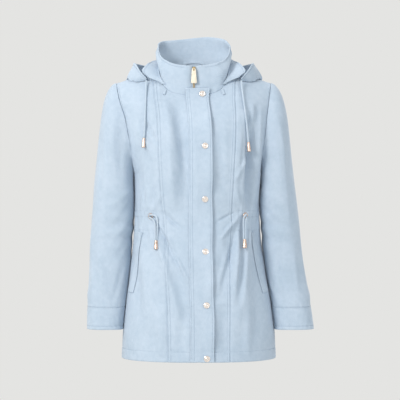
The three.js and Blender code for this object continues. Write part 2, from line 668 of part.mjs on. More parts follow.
// Lifts a point off the torso where it would lie within a gap of it.
function clearOfTorso(point, gap) {
  const face = point.y < 0 ? 'front' : 'back';
  const x = Math.abs(point.x - middleAt(point.z));
  if (x >= halfAt(point.z) || point.z > crestAt(face, x) + gap) return point;
  const z = Math.min(point.z, crestAt(face, x) - 0.01);
  const depth = Math.abs(torsoRaw(face, 'left', turnOf(face, x, z), z).y) + gap;
  if (Math.abs(point.y) >= depth) return point;
  const full = depthAt[face](z) * Math.cos(turnOf(face, x, z) * cutAngle(face, z)) ** ROUND;
  const share = clamp(Math.abs(point.y) / full, 0, 0.99);
  if (share < 0.7) {
    const below = 1 - Math.sqrt(1 - share ** (1 / ROUNDING.power));
    point.z = Math.max(point.z, crestAt(face, x) - roundingAt(face, x) * below + gap);
  } else {
    point.y = faceSign[face] * depth;
  }
  return point;
}

function hoodSection(side, share) {
  const station = share * (HOOD.length - 2);
  const at = (column) => through(HOOD, null, column)(station);
  const place = (name) =>
    new THREE.Vector3(collarMiddle + sideSign[side] * at(`${name}Out`), at(`${name}Y`), at(`${name}Z`));
  const seamIndex = lerp(HOOD_SEAM.first, HOOD_SEAM.last, share);
  const index = side === 'left' ? seamIndex : neckSeam.length - 1 - seamIndex;
  const root = collarPoint(neckSeamAt(index), HOOD_ROOT.share, HOOD_ROOT.lift);
  const waypoints = [place('inner'), root, place('base'), place('outer')];
  const smoothAt = (t) => {
    const pick = (i) => waypoints[clamp(i, 0, waypoints.length - 1)];
    const i = Math.min(Math.floor(t), waypoints.length - 2);
    const u = t - i;
    const slopeAt = (j) => pick(j + 1).clone().sub(pick(j - 1)).multiplyScalar(j === 1 ? 0 : 0.5);
    const a = slopeAt(i);
    const b = slopeAt(i + 1);
    const u2 = u * u;
    const u3 = u2 * u;
    return pick(i).clone().multiplyScalar(2 * u3 - 3 * u2 + 1).addScaledVector(a, u3 - 2 * u2 + u)
      .addScaledVector(pick(i + 1), 3 * u2 - 2 * u3).addScaledVector(b, u3 - u2);
  };
  return HOOD_PLACES.map((t) => {
    if (t === 1) return root;
    const point = smoothAt(t);
    return clearOfTorso(point, HOOD_CLEARANCE[point.y < 0 ? 'front' : 'back']);
  });
}

// Normals of a grid of points, from its neighbours along both directions.
function gridNormals(grid, sign) {
  const pick = (r, c) => grid[clamp(r, 0, grid.length - 1)][clamp(c, 0, grid[0].length - 1)];
  return grid.map((row, r) => row.map((_, c) => {
    const down = pick(r + 1, c).clone().sub(pick(r - 1, c));
    const across = pick(r, c + 1).clone().sub(pick(r, c - 1));
    return down.cross(across).normalize().multiplyScalar(sign);
  }));
}

const hoodHalf = (side) =>
  Array.from({ length: HOOD_HALF_STEPS + 1 }, (_, i) => hoodSection(side, i / HOOD_HALF_STEPS));
const hoodGrid = [...hoodHalf('left'), ...hoodHalf('right').reverse().slice(1)];
const hoodNormals = gridNormals(hoodGrid, -1);
const hoodSamples = hoodGrid.map((row, r) => row.map((point, c) => ({ point, normal: hoodNormals[r][c] })));
addMesh('hood', wallFromSamples(hoodSamples, CLOTH), cloth);

// The hanger loop is a narrow strap that arches over the neck seam, inside the collar's back.
const LOOP = { from: 9.4, to: 10.6, low: 0.03, width: 0.07, arch: 0.08, gap: 0.8, thickness: 1.2, steps: 8 };
const loopSamples = Array.from({ length: LOOP.steps + 1 }, (_, i) => {
  const seam = neckSeamAt(lerp(LOOP.from, LOOP.to, i / LOOP.steps));
  const low = LOOP.low + LOOP.arch * Math.sin((Math.PI * i) / LOOP.steps);
  return [low, low + LOOP.width].map((share) => ({
    point: collarPoint(seam, share, -COLLAR_CLOTH - LOOP.gap),
    normal: new THREE.Vector3(0, 1, 0),
  }));
});
addMesh('hanger_loop', wallFromSamples(loopSamples, LOOP.thickness), clothDark);

// A narrow strip on the front, sewn on along a line from one place to another.
function weltSamples(side, start, end, width, lift, steps) {
  const along = new THREE.Vector2(end.x - start.x, end.z - start.z).normalize();
  return Array.from({ length: steps + 1 }, (_, i) => {
    const x = lerp(start.x, end.x, i / steps);
    const z = lerp(start.z, end.z, i / steps);
    return [-0.5, 0, 0.5].map((c) =>
      sampleAt('front', side, x + along.y * width * c, z - along.x * width * c, lift));
  });
}

const POCKET = { top: { x: 138, z: -386 }, bottom: { x: 168, z: -535 }, width: 11, lift: 2.4, thickness: 1.6 };
const TAB = { top: { x: 71, z: -31 }, bottom: { x: 75, z: -43 }, width: 6, lift: 2.2, thickness: 1.4 };
for (const side of ['left', 'right']) {
  const welt = weltSamples(side, POCKET.top, POCKET.bottom, POCKET.width, POCKET.lift, 8);
  addMesh(`pocket_welt_${side}`, wallFromSamples(welt, POCKET.thickness), cloth);
  const tab = weltSamples(side, TAB.top, TAB.bottom, TAB.width, TAB.lift, 2);
  addMesh(`hood_tab_${side}`, wallFromSamples(tab, TAB.thickness), clothDark);
}

// Turns a closed geometry into a solid that can be joined to another.
function solidOf(geometry) {
  const bare = geometry.clone();
  bare.deleteAttribute('normal');
  bare.deleteAttribute('uv');
  const merged = mergeVertices(bare, 1e-4);
  return new wasm.Manifold(new wasm.Mesh({
    numProp: 3,
    vertProperties: new Float32Array(merged.attributes.position.array),
    triVerts: new Uint32Array(merged.index.array),
  }));
}

function geometryOf(solid) {
  const mesh = solid.getMesh();
  const geometry = new THREE.BufferGeometry();
  geometry.setAttribute('position', new THREE.BufferAttribute(new Float32Array(mesh.vertProperties), 3));
  geometry.setIndex(new THREE.BufferAttribute(new Uint32Array(mesh.triVerts), 1));
  geometry.computeVertexNormals();
  return geometry;
}

// The zip's slider: a plate over the teeth and an upright bridge that holds the pull's bar.
const PULL = {
  axisZ: 21, axisOut: 5.6, bar: 0.8, play: 0.4, bridge: 1.4, bridgeWidth: 2.4, thickness: 1.6, length: 36,
  windowHalf: 1.8, windowDrop: 4.8,
};
const SLIDER = {
  top: 26, bottom: 14, topWidth: 8.4, bottomWidth: 6, thickness: 3, gap: 0.4, shoulder: 4, bevel: 1.6, join: 0.4,
};
const zipFace = frontSurface(0.01, PULL.axisZ, ZIP_SINK).point;
const plateBackY = zipFace.y - SLIDER.gap;
const axisY = zipFace.y - PULL.axisOut;

function extruded(outline, depth, holes = []) {
  const shape = new THREE.Shape(outline.map(([x, y]) => new THREE.Vector2(x, y)));
  for (const hole of holes) shape.holes.push(new THREE.Path(hole.map(([x, y]) => new THREE.Vector2(x, y))));
  return new THREE.ExtrudeGeometry(shape, { depth, bevelEnabled: false });
}

const rectangle = (x1, y1, x2, y2) => [[x1, y1], [x2, y1], [x2, y2], [x1, y2]];

// Drawn in X and Z and thickened towards the front.
const upright = (geometry, frontY) => geometry.rotateX(Math.PI / 2).translate(zipFace.x, frontY, 0);

const sliderPlate = upright(extruded([
  [-SLIDER.bottomWidth / 2, SLIDER.bottom],
  [SLIDER.bottomWidth / 2, SLIDER.bottom],
  [SLIDER.topWidth / 2, SLIDER.top - SLIDER.shoulder],
  [SLIDER.topWidth / 2 - SLIDER.bevel, SLIDER.top],
  [-SLIDER.topWidth / 2 + SLIDER.bevel, SLIDER.top],
  [-SLIDER.topWidth / 2, SLIDER.top - SLIDER.shoulder],
], SLIDER.thickness), plateBackY);

const hole = PULL.bar + PULL.play;
const rim = hole + PULL.bridge;
const bridgeFootY = plateBackY - SLIDER.thickness + SLIDER.join;
const bridgeOutline = rectangle(axisY - rim, PULL.axisZ - rim, bridgeFootY, PULL.axisZ + rim);
const bridgeHole = rectangle(axisY - hole, PULL.axisZ - hole, axisY + hole, PULL.axisZ + hole);
const sliderBridge = extruded(bridgeOutline, PULL.bridgeWidth, [bridgeHole.reverse()])
  .rotateX(Math.PI / 2).rotateZ(Math.PI / 2).translate(zipFace.x - PULL.bridgeWidth / 2, 0, 0);
addMesh('zip_slider', geometryOf(solidOf(sliderPlate).add(solidOf(sliderBridge))), paleGold);

// The pull hangs by its top bar, which lies across the bridge, and widens to a rounded foot.
const PULL_TOP = PULL.axisZ + PULL.bar;
const PULL_BOTTOM = PULL.axisZ - PULL.length;
const pullOutline = [
  [-3.6, PULL_TOP], [-4.9, PULL_TOP - 3.2], [-7.3, PULL_BOTTOM + 3.4], [-6.9, PULL_BOTTOM + 1],
  [-5.2, PULL_BOTTOM], [5.2, PULL_BOTTOM], [6.9, PULL_BOTTOM + 1], [7.3, PULL_BOTTOM + 3.4],
  [4.9, PULL_TOP - 3.2], [3.6, PULL_TOP],
];
const pullWindow = rectangle(
  -PULL.windowHalf, PULL.axisZ - PULL.windowDrop, PULL.windowHalf, PULL.axisZ - PULL.bar,
).reverse();
const pull = upright(extruded(pullOutline, PULL.thickness, [pullWindow]), axisY + PULL.thickness / 2);
addMesh('pull_tab', pull, paleGold);

// Metal rings at the waist, where the drawcord comes out through the side fronts.
const EYELETS = table(['side', 'x', 'z', 'lift'], [['left', 115.1, -345, 1.6], ['right', 119.7, -343, 0.7]]);
const eyeletProfile = [[4.3, 0], [7, 0], [7.2, 0.6], [6.2, 1.7], [5, 1.7], [4.1, 0.9], [4.3, 0]];
for (const { side, x, z, lift } of EYELETS) {
  const seat = sampleAt('front', side, x, z, lift);
  standOn(addMesh(`eyelet_${side}`, lathe(eyeletProfile, 16), roseMetal), seat.point, seat.normal);
}

// Free cords with their metal ends. Each route is the middle line of the cord.
const HOOD_CORD = 4.6;
const WAIST_CORD = 3.8;
const CORDS = {
  hood_cord_left: { diameter: HOOD_CORD, steps: 18, route: [
    [-126.5, -64.5, -7], [-126.6, -70, -18], [-126.8, -78, -32], [-127.1, -85.5, -48], [-127.3, -91.8, -62],
    [-127.5, -96.2, -76], [-127.9, -98.8, -90], [-128.5, -100, -105], [-129.2, -100.9, -120], [-130, -101.1, -135],
    [-131, -101.2, -151],
  ] },
  hood_cord_right: { diameter: HOOD_CORD, steps: 18, route: [
    [110.8, -64.5, -7], [111.5, -70, -18], [113, -77.5, -32], [114.8, -85, -48], [116.6, -91.5, -62],
    [118.3, -96.8, -76], [120, -100.6, -90], [121.8, -103, -105], [123.4, -103.8, -120], [124.8, -103.6, -135],
    [126.2, -103.2, -148], [127.4, -102.9, -161],
  ] },
  waist_cord_left_a: { diameter: WAIST_CORD, steps: 14, route: [
    [-116.9, -91, -342.9], [-118.2, -94.6, -342.5], [-115.6, -98.4, -342], [-109.4, -101.2, -342],
    [-103.2, -103.4, -344], [-98.9, -104.8, -349], [-97.5, -104.4, -356.5], [-97.6, -103.7, -365],
    [-97.9, -103.8, -374], [-98.1, -105, -383], [-98.2, -106.5, -391], [-98.3, -108.3, -399], [-98.4, -109.7, -405],
  ] },
  waist_cord_left_b: { diameter: WAIST_CORD, steps: 12, route: [
    [-116.9, -91, -347.2], [-118.1, -94.5, -347.8], [-115, -97.9, -349.4], [-109.8, -99.8, -352.4],
    [-105.8, -101.3, -357.5], [-103.7, -101.7, -364.5], [-103.2, -102, -373], [-103, -103.3, -382],
    [-102.9, -105.1, -391], [-102.8, -107.1, -399], [-102.7, -108.8, -405],
  ] },
  waist_cord_right_a: { diameter: WAIST_CORD, steps: 12, route: [
    [121.8, -88.8, -340.9], [123.1, -92.4, -340.6], [121.8, -96.2, -341.2], [118.5, -98.2, -344.2],
    [116, -98.4, -350.5], [115.2, -97.9, -358.5], [115.3, -97.6, -367], [115.5, -98.2, -376],
    [115.7, -99.6, -385], [115.9, -101.6, -394], [116, -103.4, -402],
  ] },
  waist_cord_right_b: { diameter: WAIST_CORD, steps: 10, route: [
    [121.8, -88.8, -345.2], [123.2, -92.2, -345.8], [122.9, -95, -348.8], [121.5, -95.5, -354.5],
    [120.6, -95, -361.5], [120.3, -95, -369.5], [120.3, -95.8, -378], [120.3, -97.3, -386],
    [120.3, -99.3, -394], [120.3, -101.5, -402],
  ] },
};
const CORD_SIDES = 8;
for (const [name, { diameter, steps, route }] of Object.entries(CORDS)) {
  const path = new THREE.CatmullRomCurve3(route.map((p) => new THREE.Vector3(...p)));
  const section = new THREE.Shape(Array.from({ length: CORD_SIDES }, (_, i) => {
    const angle = (2 * Math.PI * i) / CORD_SIDES;
    return new THREE.Vector2(Math.cos(angle), Math.sin(angle)).multiplyScalar(diameter / 2);
  }));
  addMesh(name, new THREE.ExtrudeGeometry(section, { steps, extrudePath: path, bevelEnabled: false }), clothDark);
}

// Bell-shaped metal ends: where each one starts, which way it hangs, its length and its radii.
const ENDS = table(['name', 'start', 'towards', 'length', 'top', 'foot'], [
  ['hood_end_left', [-131, -101.4, -151.6], [-0.06, -0.06, -1], 24, 3.6, 4.8],
  ['hood_end_right', [127.4, -103, -161.6], [0.07, -0.04, -1], 24, 3.6, 4.8],
  ['waist_end_left', [-100.6, -109.7, -405.8], [0, -0.33, -1], 22, 4.6, 5.6],
  ['waist_end_right', [118.2, -102.9, -402.8], [0, -0.3, -1], 22, 4.6, 5.6],
]);
for (const { name, start, towards, length, top, foot } of ENDS) {
  const bell = [[0, 0], [top, 0], [lerp(top, foot, 0.55), length * 0.5], [foot, length - 1], [foot - 1, length],
    [0, length]];
  standOn(addMesh(name, lathe(bell, 12), roseMetal), new THREE.Vector3(...start), new THREE.Vector3(...towards));
}

export default parka;
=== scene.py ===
# %% [markdown]
# # A parka in pale blue cotton twill
# The garment is shown empty but filled out, as if somebody stood in it. The model that this
# script loads has the true form of each cut piece as a faceted solid. Here each piece is worked
# out again from the same shapes on a finer grid, with its creases, seams and stitches, and each
# finish is built from nodes. Left and right are the viewer's, seen from in front.

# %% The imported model
import json
from functools import partial

import bmesh
import bpy
import numpy as np
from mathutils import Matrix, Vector

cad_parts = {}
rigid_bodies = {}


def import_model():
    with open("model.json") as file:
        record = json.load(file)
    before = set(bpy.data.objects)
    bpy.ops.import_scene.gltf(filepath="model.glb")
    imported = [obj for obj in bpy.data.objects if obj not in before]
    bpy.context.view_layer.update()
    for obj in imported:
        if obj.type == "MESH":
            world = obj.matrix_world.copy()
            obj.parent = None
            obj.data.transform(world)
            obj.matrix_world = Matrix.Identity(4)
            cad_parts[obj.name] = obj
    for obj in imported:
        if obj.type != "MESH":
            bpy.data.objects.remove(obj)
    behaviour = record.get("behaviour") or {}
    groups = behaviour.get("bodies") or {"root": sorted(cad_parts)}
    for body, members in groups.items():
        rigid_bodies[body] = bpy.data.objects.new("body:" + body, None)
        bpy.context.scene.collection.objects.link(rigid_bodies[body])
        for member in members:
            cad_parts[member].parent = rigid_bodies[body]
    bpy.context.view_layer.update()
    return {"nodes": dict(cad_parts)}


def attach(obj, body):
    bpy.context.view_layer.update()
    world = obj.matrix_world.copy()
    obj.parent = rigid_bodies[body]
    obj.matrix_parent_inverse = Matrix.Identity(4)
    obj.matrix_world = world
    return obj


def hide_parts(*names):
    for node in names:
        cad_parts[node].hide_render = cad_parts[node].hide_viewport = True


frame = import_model()
MM = 0.001

# %% [markdown]
# ## Camera
# The photograph is taken level, from far off, so near and far parts are almost the same size.
# A long lens from four metres gives the same slight perspective.

# %% Camera
CAMERA_AWAY = 4.0
FRAME_WIDTH = 1.016
SENSOR = 36.0
VIEW_CENTRE = (0.0076, -0.305)

camera_data = bpy.data.cameras.new("camera")
camera_data.sensor_width = SENSOR
camera_data.lens = SENSOR * CAMERA_AWAY / FRAME_WIDTH
camera = bpy.data.objects.new("camera", camera_data)
camera.location = (VIEW_CENTRE[0], -CAMERA_AWAY, VIEW_CENTRE[1])
camera.rotation_euler = (np.pi / 2, 0, 0)
bpy.context.scene.collection.objects.link(camera)
bpy.context.scene.camera = camera
print("lens in mm:", round(camera_data.lens, 1))

# %% [markdown]
# ## Helpers for meshes
# Every surface is a grid of points: rows by columns, worked out as one numpy array. A piece of
# cloth is a wall, so its grid is used twice, outside and inside, and the two are joined round
# the rim by a row of points that stands a little proud and makes the edge look rolled.

# %% Curves through tables, and small formulas
def cubic(t, start, end, leaving, arriving):
    """The smooth way from start to end as t goes from 0 to 1, with a slope for each end."""
    return ((2 * t**3 - 3 * t**2 + 1) * start + (t**3 - 2 * t**2 + t) * leaving
            + (3 * t**2 - 2 * t**3) * end + (t**3 - t**2) * arriving)


def through(xs, ys):
    """A smooth curve through points: cubics whose slope at each point is that of its neighbours."""
    xs, ys = np.array(xs, float), np.array(ys, float)
    order = np.argsort(xs)
    xs, ys = xs[order], ys[order]
    numbers = np.arange(len(xs))
    after, before = np.minimum(numbers + 1, len(xs) - 1), np.maximum(numbers - 1, 0)
    slopes = (ys[after] - ys[before]) / (xs[after] - xs[before])

    def curve(x):
        i = np.clip(np.searchsorted(xs, x, side="right") - 1, 0, len(xs) - 2)
        width = xs[i + 1] - xs[i]
        t = np.clip((x - xs[i]) / width, 0, 1)
        return cubic(t, ys[i], ys[i + 1], slopes[i] * width, slopes[i + 1] * width)

    return curve


def mix(a, b, t):
    """The value that lies the share t of the way from a to b."""
    return a + (b - a) * t


def ease(t):
    """A share from 0 to 1 that starts and ends slowly: 3t squared less 2t cubed."""
    t = np.clip(t, 0, 1)
    return t * t * (3 - 2 * t)


def bump(off):
    """A smooth hump, 1 at off = 0 and 0 from off = 1 on: the square of 1 less off squared."""
    return np.maximum(0, 1 - off * off) ** 2


def fold(off, along, height):
    """A fold across and along its line: a hump that fades at both ends of the line."""
    return height * bump(off) * np.sin(np.pi * along) ** 0.7


def signed_power(value, power):
    return np.sign(value) * np.abs(value) ** power


def vector(x, y, z):
    """Three arrays of one shape, or that stretch to one, as an array of points."""
    return np.stack(np.broadcast_arrays(x, y, z), axis=-1).astype(float)


def unit(v):
    """Vectors of length 1."""
    return v / np.maximum(np.linalg.norm(v, axis=-1, keepdims=True), 1e-9)


def circle(count):
    """Even angles once round."""
    return np.linspace(0, 2 * np.pi, count, endpoint=False)


def ripple(a, b, seed):
    """Soft uneven waves between -1 and 1: three sines of a and b whose pitches never agree."""
    one = np.sin(a + 1.7 * np.sin(0.7 * b + seed))
    two = np.sin(1.618 * a - 0.9 * b + 2.1 * seed)
    three = np.sin(0.53 * a + 1.37 * b + 0.6 * seed + 1.1 * np.sin(0.31 * a))
    return (one + two + three) / 3


# %% Meshes from grids
def placed(shape, centres, *axes):
    """Copies of a small shape's points, one about each centre, laid along directions of its own."""
    points = centres[:, None]
    for number, axis in enumerate(axes):
        points = points + shape[None, :, number:number + 1] * axis[:, None]
    return points


def new_piece(name, mesh, body):
    """A smooth-shaded object of a mesh, which rides on a body."""
    mesh.polygons.foreach_set("use_smooth", np.ones(len(mesh.polygons), bool))
    piece = bpy.data.objects.new(name, mesh)
    bpy.context.scene.collection.objects.link(piece)
    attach(piece, body)
    return piece


def make_object(name, points, faces):
    """A smooth-shaded mesh object from points in millimetres, which rides on the garment."""
    mesh = bpy.data.meshes.new(name)
    faces = faces.tolist() if isinstance(faces, np.ndarray) else faces
    mesh.from_pydata(np.asarray(points, float).reshape(-1, 3) * MM, [], faces)
    mesh.update()
    return new_piece(name, mesh, "garment")


def grid_faces(rows, columns, around=False, first=0):
    """Four-sided faces over a grid of points; around joins the last column to the first."""
    starts = np.arange(columns if around else columns - 1)
    r, c = np.meshgrid(np.arange(rows - 1) * columns, starts, indexing="ij")
    after = (c + 1) % columns
    corners = [r + c, r + after, r + columns + after, r + columns + c]
    return first + np.stack(corners, axis=-1).reshape(-1, 4)


def arc_lengths(points, axis):
    """How far along the cloth each grid point is from the grid's first row or column."""
    steps = np.linalg.norm(np.diff(points, axis=axis), axis=-1)
    start = np.zeros_like(np.take(steps, [0], axis=axis))
    return np.cumsum(np.concatenate([start, steps], axis=axis), axis=axis)


def edge_loops(rows, columns, around):
    """The numbers of a grid's edge points: one closed loop, or one for each end of a tube."""
    numbers = np.arange(rows * columns).reshape(rows, columns)
    if around:
        return [numbers[0], numbers[-1]]
    sides = [numbers[0, :-1], numbers[:-1, -1], numbers[-1, :0:-1], numbers[:0:-1, 0]]
    return [np.concatenate(sides)]


def cloth_wall(name, points, normals, thickness, node, around=False, rim=0.4):
    """A wall of cloth on a grid of outer points, its rim rolled, with its size as UV in metres.

    The inner points are the outer ones moved in along the normals by the thickness. Round the
    rim lies a row of points halfway between both, moved out of the cloth's edge by rim times
    the thickness.
    """
    rows, columns = points.shape[:2]
    count = rows * columns
    outer, inner = points.reshape(-1, 3), (points - normals * thickness).reshape(-1, 3)
    middle = (outer + inner) / 2
    u, v = arc_lengths(points, 1), arc_lengths(points, 0)
    closing = np.linalg.norm(points[:, -1] - points[:, 0], axis=-1).max() if around else 0
    width, length = float(u[:, -1].max() + closing), float(v[-1].max())
    uv = np.stack([u if around else u - u[:, -1:] / 2, v], -1).reshape(-1, 2)

    shell, flat_uv = [outer, inner], [uv, uv]
    faces = [grid_faces(rows, columns, around), grid_faces(rows, columns, around, first=count)]
    first = 2 * count
    for loop in edge_loops(rows, columns, around):
        r, c = np.divmod(loop, columns)
        near = np.clip(r, 1, rows - 2) * columns + (c if around else np.clip(c, 1, columns - 2))
        shell.append(middle[loop] + unit(middle[loop] - middle[near]) * thickness * rim)
        flat_uv.append(uv[loop])
        edge = first + np.arange(len(loop))
        for side in (loop, loop + count):
            faces.append(np.stack([side, np.roll(side, -1), np.roll(edge, -1), edge], -1))
        first += len(loop)
    piece = make_object(name, np.concatenate(shell), np.concatenate(faces))
    face_outwards(piece)
    lay_out(piece, np.concatenate(flat_uv), width)
    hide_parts(node)
    area = min(cloth_area(points, around), width * length)
    cut = f"{name}: cut {width:.0f} by {length:.0f} mm"
    print(f"{cut}, {area / 1e4:.1f} dm2 a wall, {first} points")


def lay_out(piece, flat_uv, width):
    """Gives the mesh its UV map in metres; a face over a tube's joint runs past the full width."""
    corners = np.empty(len(piece.data.loops), int)
    piece.data.loops.foreach_get("vertex_index", corners)
    uv = flat_uv[corners].reshape(-1, 4, 2)
    over = uv[:, :, 0].max(1) - uv[:, :, 0].min(1) > width / 2
    uv[over, :, 0] += np.where(uv[over, :, 0] < width / 2, width, 0)
    layer = piece.data.uv_layers.new(name="cloth")
    layer.data.foreach_set("uv", (uv * MM).ravel())


def cloth_area(points, around=False):
    """The area of a grid: each face's two triangles, each half the length of a cross product."""
    faces = grid_faces(*points.shape[:2], around=around)
    p = points.reshape(-1, 3)[faces]
    one, diagonal, other = (p[:, k] - p[:, 0] for k in (1, 2, 3))
    halves = [np.cross(one, diagonal), np.cross(diagonal, other)]
    return sum(np.linalg.norm(h, axis=-1).sum() / 2 for h in halves)


def face_outwards(piece, merge=False):
    """Turns all faces of a closed mesh outwards; merge first joins the points that coincide."""
    work = bmesh.new()
    work.from_mesh(piece.data)
    if merge:
        bmesh.ops.remove_doubles(work, verts=work.verts, dist=1e-7)
    bmesh.ops.recalc_face_normals(work, faces=work.faces)
    work.to_mesh(piece.data)
    work.free()


# %% [markdown]
# ## Cords
# Two cords hang from the hood and two doubled ones from the waist, each into a metal bell. They
# follow the same points as the model's solids. A braided cord is a tube whose radius
# rises and falls along two opposite spirals, so the strands seem to pass over and under.

# %% Cord routes, in millimetres
HOOD_CORD, WAIST_CORD = 4.6, 3.8
CORDS = {
    "hood_cord_left": (HOOD_CORD, [
        (-126.5, -64.5, -7), (-126.6, -70, -18), (-126.8, -78, -32), (-127.1, -85.5, -48),
        (-127.3, -91.8, -62), (-127.5, -96.2, -76), (-127.9, -98.8, -90), (-128.5, -100, -105),
        (-129.2, -100.9, -120), (-130, -101.1, -135), (-131, -101.2, -151),
    ]),
    "hood_cord_right": (HOOD_CORD, [
        (110.8, -64.5, -7), (111.5, -70, -18), (113, -77.5, -32), (114.8, -85, -48),
        (116.6, -91.5, -62), (118.3, -96.8, -76), (120, -100.6, -90), (121.8, -103, -105),
        (123.4, -103.8, -120), (124.8, -103.6, -135), (126.2, -103.2, -148), (127.4, -102.9, -161),
    ]),
    "waist_cord_left_a": (WAIST_CORD, [
        (-116.9, -91, -342.9), (-118.2, -94.6, -342.5), (-115.6, -98.4, -342),
        (-109.4, -101.2, -342), (-103.2, -103.4, -344), (-98.9, -104.8, -349),
        (-97.5, -104.4, -356.5), (-97.6, -103.7, -365), (-97.9, -103.8, -374), (-98.1, -105, -383),
        (-98.2, -106.5, -391), (-98.3, -108.3, -399), (-98.4, -109.7, -405),
    ]),
    "waist_cord_left_b": (WAIST_CORD, [
        (-116.9, -91, -347.2), (-118.1, -94.5, -347.8), (-115, -97.9, -349.4),
        (-109.8, -99.8, -352.4), (-105.8, -101.3, -357.5), (-103.7, -101.7, -364.5),
        (-103.2, -102, -373), (-103, -103.3, -382), (-102.9, -105.1, -391), (-102.8, -107.1, -399),
        (-102.7, -108.8, -405),
    ]),
    "waist_cord_right_a": (WAIST_CORD, [
        (121.8, -88.8, -340.9), (123.1, -92.4, -340.6), (121.8, -96.2, -341.2),
        (118.5, -98.2, -344.2), (116, -98.4, -350.5), (115.2, -97.9, -358.5), (115.3, -97.6, -367),
        (115.5, -98.2, -376), (115.7, -99.6, -385), (115.9, -101.6, -394), (116, -103.4, -402),
    ]),
    "waist_cord_right_b": (WAIST_CORD, [
        (121.8, -88.8, -345.2), (123.2, -92.2, -345.8), (122.9, -95, -348.8),
        (121.5, -95.5, -354.5), (120.6, -95, -361.5), (120.3, -95, -369.5), (120.3, -95.8, -378),
        (120.3, -97.3, -386), (120.3, -99.3, -394), (120.3, -101.5, -402),
    ]),
}


# %% Braided cords
def along_route(route, spacing):
    """Evenly spaced points on the smooth curve through a route's points."""
    route = np.array(route, float)
    chord = np.concatenate([[0], np.cumsum(np.linalg.norm(np.diff(route, axis=0), axis=1))])
    curves = [through(chord, route[:, axis]) for axis in range(3)]
    fine = np.linspace(0, chord[-1], 400)
    line = np.stack([curve(fine) for curve in curves], -1)
    lengths = np.concatenate([[0], np.cumsum(np.linalg.norm(np.diff(line, axis=0), axis=1))])
    even = np.linspace(0, lengths[-1], int(lengths[-1] / spacing) + 1)
    return np.stack([np.interp(even, lengths, line[:, axis]) for axis in range(3)], -1), lengths[-1]


def carried_frame(line):
    """Two directions across a line at each point, turned as little as possible along it."""
    forward = unit(np.gradient(line, axis=0))
    side = unit(np.cross(forward[0], (0.3, 1.0, 0.1)))
    sides = []
    for direction in forward:
        side = unit(side - direction * side.dot(direction))
        sides.append(side)
    sides = np.array(sides)
    return sides, np.cross(forward, sides)


def closed_tube(name, line, radii, around):
    """A capped tube: at each point of the line a ring of radius radii[point, angle]."""
    one, two = carried_frame(line)
    angles = circle(around)[None, :, None]
    ring = np.cos(angles) * one[:, None] + np.sin(angles) * two[:, None]
    points = line[:, None] + ring * np.broadcast_to(radii, (len(line), around))[:, :, None]
    all_points = np.concatenate([points.reshape(-1, 3), line[:1], line[-1:]])
    faces = grid_faces(len(line), around, around=True).tolist()
    after = (np.arange(around) + 1) % around
    last = (len(line) - 1) * around
    faces += [[len(line) * around, int(b), int(a)] for a, b in enumerate(after)]
    faces += [[len(line) * around + 1, last + a, int(last + b)] for a, b in enumerate(after)]
    piece = make_object(name, all_points, faces)
    face_outwards(piece)
    return piece


BRAID_PITCH, BRAID_STRANDS, BRAID_SPACING, BRAID_AROUND = 9.0, 4, 0.55, 28
BRAID_RELIEF, BRAID_SINK = 0.045, 0.02
cord_pieces = {}
for name, (diameter, route) in CORDS.items():
    line, length = along_route(route, BRAID_SPACING)
    angles = circle(BRAID_AROUND)[None, :]
    travel = np.linspace(0, length, len(line))[:, None] * 2 * np.pi / BRAID_PITCH
    one_way = np.cos(BRAID_STRANDS * (angles + travel))
    other_way = np.cos(BRAID_STRANDS * (angles - travel))
    radii = diameter / 2 * (1 + BRAID_RELIEF * np.maximum(one_way, other_way) - BRAID_SINK)
    cord = closed_tube(f"{name}_braid", line, radii, BRAID_AROUND)
    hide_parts(name)
    cord_pieces[name] = (cord, line, length, diameter)
    print(f"{name}: {length:.0f} mm long, {diameter} mm thick")


# %% [markdown]
# ## The body of the parka
# The front is four panels and the back one, met at the shoulders, sides and princess seams, the
# long seams that run from the shoulder to the hem and give the garment its waist. All are cut
# from one rounded form: a section at each height, from a short table, with the shoulders' slope
# above it. A panel is a share of that form between two seams, so neighbours meet exactly.

# %% Sizes of the body, in millimetres
CLOTH, COLLAR_CLOTH, FLAP_CLOTH, SEAM_GAP = 2.0, 2.6, 1.8, 0.3
HEM_Z, UNDERARM_Z = -702, -238
ROUND = 2 / 2.3
NECK_HALF, NECK_SIDE_Z, NECK_FRONT_DROP, NECK_BACK_RISE = 86, 30, 73, 8
SHOULDER_TIP_HALF, SHOULDER_TIP_Z = 195, -9
ARMHOLE_DEPTH, ARMHOLE_MIDDLE_Z = 58, -140
ZIP_HALF = 5.0
SIGN = {"left": -1, "right": 1, "front": -1, "back": 1}
SIDES, FACES = ("left", "right"), ("front", "back")
# The form is rounded near the crest by a power, and cloth stays a hair below the crest.
CREST_POWER, BELOW_CREST = 0.62, 0.004

# Each section's height, middle, half width, and depth in front and behind.
TORSO = np.array([
    (60, -8, 195, 98, 88), (-9, -8, 195, 104, 96), (-53, -7, 188, 110, 104),
    (-91, -3, 179, 118, 111), (-129, -1, 173, 126, 115), (-161, 0, 168.5, 131, 116),
    (-212, 0, 162.5, 135, 113), (-238, 0, 160, 134, 110), (-290, 0, 158.6, 127, 103),
    (-348, 0, 158.5, 119, 99), (-410, 0.5, 162, 127, 110), (-452, 1.5, 168, 135, 121),
    (-510, 2.5, 175.5, 143, 131), (-549, 3.5, 182, 148, 136), (-627, 4.5, 191.5, 152, 140),
    (HEM_Z, 4.5, 195, 153, 142),
])
middle_at, half_at, *depths = (through(TORSO[:, 0], TORSO[:, k]) for k in (1, 2, 3, 4))
depth_at = dict(zip(("front", "back"), depths))
PRINCESS_Z = (40, -58, -185, -320, -376, -543, HEM_Z)
princess_at = {
    "left": through(PRINCESS_Z, (108, 98, 96, 88, 82, 78, 75)),
    "right": through(PRINCESS_Z, (107, 102, 94, 87, 86, 79, 77)),
}


